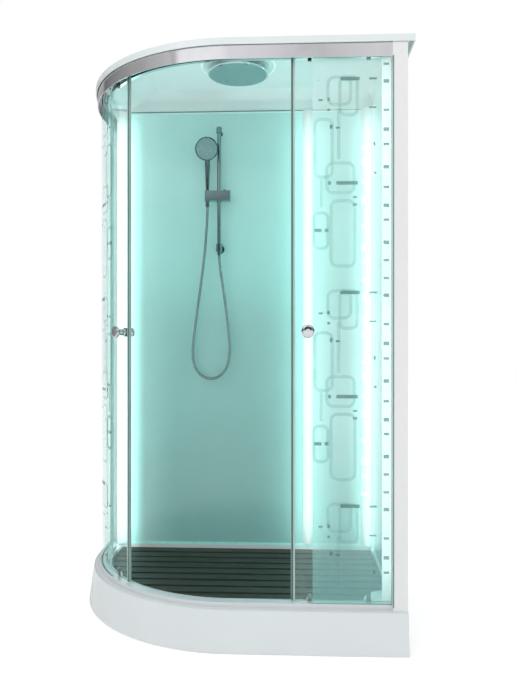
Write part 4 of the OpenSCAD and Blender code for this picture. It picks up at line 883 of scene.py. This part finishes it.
class CABIN_OT_panes(bpy.types.Operator):
    """Fixed panes with their printed lines"""

    bl_idname = "cabin.panes"
    bl_label = "Fixed panes"

    # Rounded outlines of one repeat: left, bottom, right, top and corner radius, in metres
    OUTLINES = (
        (0.062, 0.025, 0.142, 0.245, 0.022), (0.004, 0.085, 0.052, 0.205, 0.018),
        (0.048, 0.272, 0.140, 0.372, 0.022), (0.008, 0.325, 0.066, 0.520, 0.020),
        (0.052, 0.570, 0.128, 0.662, 0.022), (0.092, 0.535, 0.150, 0.662, 0.018))
    # Bars that join them, and the darker bars and dashes: left, bottom, right and top
    BARS = ((0.082, 0.385, 0.094, 0.556), (0.024, 0.222, 0.034, 0.318))
    DASHES = (
        (0.094, 0.650, 0.158, 0.662), (0.080, 0.299, 0.152, 0.311), (0.052, 0.299, 0.062, 0.311),
        (0.006, 0.140, 0.030, 0.151), (0.041, 0.140, 0.053, 0.151), (0.050, 0.582, 0.058, 0.594),
        (0.050, 0.548, 0.058, 0.556), (0.058, 0.488, 0.067, 0.502), (0.078, 0.488, 0.092, 0.495),
        (0.020, 0.582, 0.034, 0.589), (0.136, 0.254, 0.150, 0.260), (0.136, 0.228, 0.150, 0.236),
        (0.190, 0.652, 0.216, 0.659), (0.190, 0.556, 0.214, 0.561), (0.204, 0.430, 0.211, 0.442),
        (0.206, 0.335, 0.214, 0.342))
    # Heights of the short dashes beside the post, their height, and how much more every second one has
    TICKS = (0.040, 0.098, 0.176, 0.222, 0.286, 0.352, 0.430, 0.478, 0.545, 0.640, 0.700)
    TICK_HIGH, TICK_MORE = 0.008, 0.004
    # Heights of the frosted patches, their least size and steps of growth, and the range in which the lamp
    # behind them is lit
    PATCHES = (0.030, 0.075, 0.150, 0.235, 0.300, 0.362, 0.415, 0.500, 0.560, 0.625, 0.690)
    PATCH_WIDE, PATCH_WIDER, PATCH_HIGH, PATCH_HIGHER = 0.020, 0.005, 0.016, 0.010
    LIT = (0.5, 1.76)
    # The print's range of heights, and how far each layer of it stands proud of the one below
    PRINTED, LAYER = (0.19, 1.975), 0.00025
    # For each pane: its plan, where the patches and the dashes beside the post start, and these dashes' width
    SIDES = {"right": (right_plan, 0.163, 0.238, 0.018), "left": (left_plan, 0.330, 0.452, 0.012)}

    def execute(self, context):
        finish_nodes(["right_fixed_glass"], look("hazy"))
        finish_nodes(["left_fixed_glass"], look("side"))
        finish_nodes(["glass_gaskets"], look("seal"))
        for side in self.SIDES:
            self.printed(side, context.scene.cabin_sizes)
        return {"FINISHED"}

    def printed(self, side, sizes):
        """Lines, dashes and frosted patches of the print, repeated up the pane."""
        plan, patch_at, tick_at, tick_wide = self.SIDES[side]
        (low, high), out = self.PRINTED, self.LAYER
        lines, dashes, frost = [], [], []
        for z in np.arange(low - sizes.print_repeat / 2, high, sizes.print_repeat):
            for x0, z0, x1, z1, radius in self.OUTLINES:
                if z + z0 > low and z + z1 < high:
                    outline = rounded_loop(x0, z + z0, x1, z + z1, radius)
                    lines.append(ribbon(outline, sizes.line_width, plan, out))
            for bars, found, layer in ((self.BARS, lines, out), (self.DASHES, dashes, out * 2)):
                found += [bar_patch(x0, z + z0, x1, z + z1, plan, layer) for x0, z0, x1, z1 in bars
                          if z + z0 > low and z + z1 < high]
            for k, rise in enumerate(self.TICKS):
                if low < z + rise < high:
                    top = z + rise + self.TICK_HIGH + self.TICK_MORE * (k % 2)
                    dashes.append(bar_patch(tick_at, z + rise, tick_at + tick_wide, top, plan, out * 2))
            for k, rise in enumerate(self.PATCHES):
                if self.LIT[0] < z + rise < self.LIT[1]:
                    end = patch_at + self.PATCH_WIDE + self.PATCH_WIDER * (k % 3)
                    top = z + rise + self.PATCH_HIGH + self.PATCH_HIGHER * (k % 2)
                    frost.append(bar_patch(patch_at, z + rise, end, top, plan, out * 3))
        kinds = (("lines", lines, "ink"), ("dashes", dashes, "ink_dark"), ("frost", frost, "frost"))
        for kind, parts, ink in kinds:
            verts, faces = merged(parts)
            # The left pane's plan runs the other way round, so its faces are turned to look outwards
            faces = faces[:, ::-1] if side == "left" else faces
            make_piece(f"{side}_pane_{kind}", verts, faces, look(ink), "cabin", "hazy_glass")


class CABIN_OT_doors(bpy.types.Operator):
    """Sliding doors: panes, seals, knobs, gaskets and rollers"""

    bl_idname = "cabin.doors"
    bl_label = "Doors"

    def execute(self, context):
        for side in ("left", "right"):
            finish_nodes([f"{side}_door_glass"], look("clear"))
            finish_nodes([f"{side}_door_seal", f"{side}_fin_seal"], look("seal"))
            finish_nodes([f"{side}_knobs"], look("chrome"))
            finish_nodes([f"{side}_knob_gaskets"], look("black"))
            finish_nodes([f"{side}_roller_carriers"], look("steel"))
            finish_nodes([f"{side}_roller_{level}_{end}" for level in ("low", "top")
                          for end in ("front", "rear")], look("nylon"))
            self.magnet(side)
        return {"FINISHED"}

    def magnet(self, side):
        """Dark magnet strip in the leading seal, a closed box carried up the door. The left one's plan goes
        round the corner: centre - radius (sin(a), cos(a)), a = edge + across / face radius."""
        across, back = np.take(MAGNET, (0, 1, 1, 0)), np.take((SEAL_FACE, SEAL_BACK), (0, 0, 1, 1))
        if side == "right":
            plan = np.column_stack([RIGHT_EDGE + across, FRONT_Y + back])
        else:
            turn = LEFT_EDGE + across / (CORNER_R - SEAL_FACE)
            plan = np.column_stack([ARC_X - (CORNER_R - back) * np.sin(turn),
                                    ARC_Y - (CORNER_R - back) * np.cos(turn)])[::-1]
        make_piece(f"{side}_magnet", *prism(plan, *SEAL_RANGE), look("magnet"), f"{side}_door", "seal_clear")


class CABIN_OT_walls(bpy.types.Operator):
    """Sea-green wall panels and their foot trim"""

    bl_idname = "cabin.walls"
    bl_label = "Walls"

    def execute(self, context):
        finish_nodes(["back_wall_main", "back_wall_side", "right_wall"], look("wall"))
        finish_nodes(["wall_foot_trim"], look("trim"))
        make_piece("wall_cap", *block(WALL_CAP), look("cap"), "cabin", "post_white")
        make_piece("wall_cap_seal", *block(WALL_CAP_SEAL), look("lip"), "cabin", "seal_clear")
        return {"FINISHED"}


class CABIN_OT_lamps(bpy.types.Operator):
    """Lit columns in the corners"""

    bl_idname = "cabin.lamps"
    bl_label = "Light columns"

    def execute(self, context):
        made = lamp(context.scene.cabin_lights.lamp_strength).mat
        made.name = "cabin_lamp"
        finish_nodes(["led_diffusers"], made)
        finish_nodes(["led_profiles"], look("profile"))
        return {"FINISHED"}


class CABIN_OT_roof(bpy.types.Operator):
    """Roof, ceiling ring and rain head"""

    bl_idname = "cabin.roof"
    bl_label = "Roof"

    def execute(self, context):
        finish_nodes(["roof_shell"], look("roof"))
        finish_nodes(["rain_head_body"], look("chrome"))
        finish_nodes(["rain_head_face"], look("spray"))
        self.ring(context.scene.cabin_sizes.ring_radius)
        return {"FINISHED"}

    def ring(self, radius):
        """Trim ring on the ceiling, a flat half-round section turned about the rain head: distance = radius +
        half cos(a), height = ceiling - drop sin(a)."""
        turn, across = np.meshgrid(np.linspace(0, math.tau, RING_SIDES, endpoint=False),
                                   np.linspace(math.pi, 0, RING_STEPS))
        distance = radius + RING_HALF * np.cos(across)
        verts = np.stack([RAIN_XY[0] + distance * np.cos(turn), RAIN_XY[1] + distance * np.sin(turn),
                          CEILING_Z + RING_SEAT - RING_DROP * np.sin(across)], axis=-1).reshape(-1, 3)
        make_piece("ceiling_ring", verts, grid_faces(RING_STEPS, RING_SIDES), look("ring"), "cabin",
                   "roof_acrylic", smooth=True)


class CABIN_OT_shower(bpy.types.Operator):
    """Slide rail, slider, handset and outlet"""

    bl_idname = "cabin.shower"
    bl_label = "Hand shower"

    def execute(self, context):
        finish_nodes(["slide_rail"], look("steel"))
        finish_nodes(["rail_top_bracket", "hose_outlet", "slider_block"], look("chrome_painted_dark"))
        finish_nodes(["handset_body"], look("handset"))
        finish_nodes(["handset_face"], look("spray"))
        finish_nodes(["slider_button"], look("black"))
        return {"FINISHED"}


class CABIN_OT_mixer(bpy.types.Operator):
    """Mixer with its lever and diverter"""

    bl_idname = "cabin.mixer"
    bl_label = "Mixer"

    def execute(self, context):
        finish_nodes(["mixer_body", "mixer_lever", "diverter_knob"], look("chrome"))
        return {"FINISHED"}


class CABIN_OT_services(bpy.types.Operator):
    """Feed pipes and lamp driver"""

    bl_idname = "cabin.services"
    bl_label = "Pipes and driver"

    def execute(self, context):
        finish_nodes(["rain_feed_pipe", "hand_feed_pipe"], look("pipe"))
        finish_nodes(["led_driver"], look("driver"))
        return {"FINISHED"}


class CABIN_PT_panel(bpy.types.Panel):
    """Lists the cabin's settings and operators"""

    bl_idname = "CABIN_PT_panel"
    bl_label = "Shower cabin"
    bl_space_type = "VIEW_3D"
    bl_region_type = "UI"
    bl_category = "Cabin"

    def draw(self, context):
        for name, group in SETTINGS.items():
            for setting in group.__annotations__:
                self.layout.prop(getattr(context.scene, name), setting)
        for operator in OPERATORS:
            self.layout.operator(operator.bl_idname)


SETTINGS = {"cabin_sizes": CabinSizes, "cabin_colors": CabinColors, "cabin_lights": CabinLights}
OPERATORS = (
    CABIN_OT_stage, CABIN_OT_hose, CABIN_OT_tray, CABIN_OT_underframe, CABIN_OT_rails, CABIN_OT_panes,
    CABIN_OT_doors, CABIN_OT_walls, CABIN_OT_lamps, CABIN_OT_roof, CABIN_OT_shower, CABIN_OT_mixer,
    CABIN_OT_services)
CLASSES = (*SETTINGS.values(), *OPERATORS, CABIN_PT_panel)


def register():
    """Adds the settings, operators and panel."""
    for cls in CLASSES:
        bpy.utils.register_class(cls)
    for name, group in SETTINGS.items():
        setattr(bpy.types.Scene, name, PointerProperty(type=group))


def unregister():
    """Takes the panel, operators and settings away again."""
    for name in SETTINGS:
        delattr(bpy.types.Scene, name)
    for cls in reversed(CLASSES):
        bpy.utils.unregister_class(cls)


def main():
    """Builds the whole scene."""
    register()
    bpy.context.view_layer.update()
    bpy.ops.cabin.stage()
    bpy.ops.cabin.hose()
    bpy.ops.cabin.tray()
    bpy.ops.cabin.underframe()
    bpy.ops.cabin.rails()
    bpy.ops.cabin.panes()
    bpy.ops.cabin.doors()
    bpy.ops.cabin.walls()
    bpy.ops.cabin.lamps()
    bpy.ops.cabin.roof()
    bpy.ops.cabin.shower()
    bpy.ops.cabin.mixer()
    bpy.ops.cabin.services()


if __name__ == "__main__":
    main()
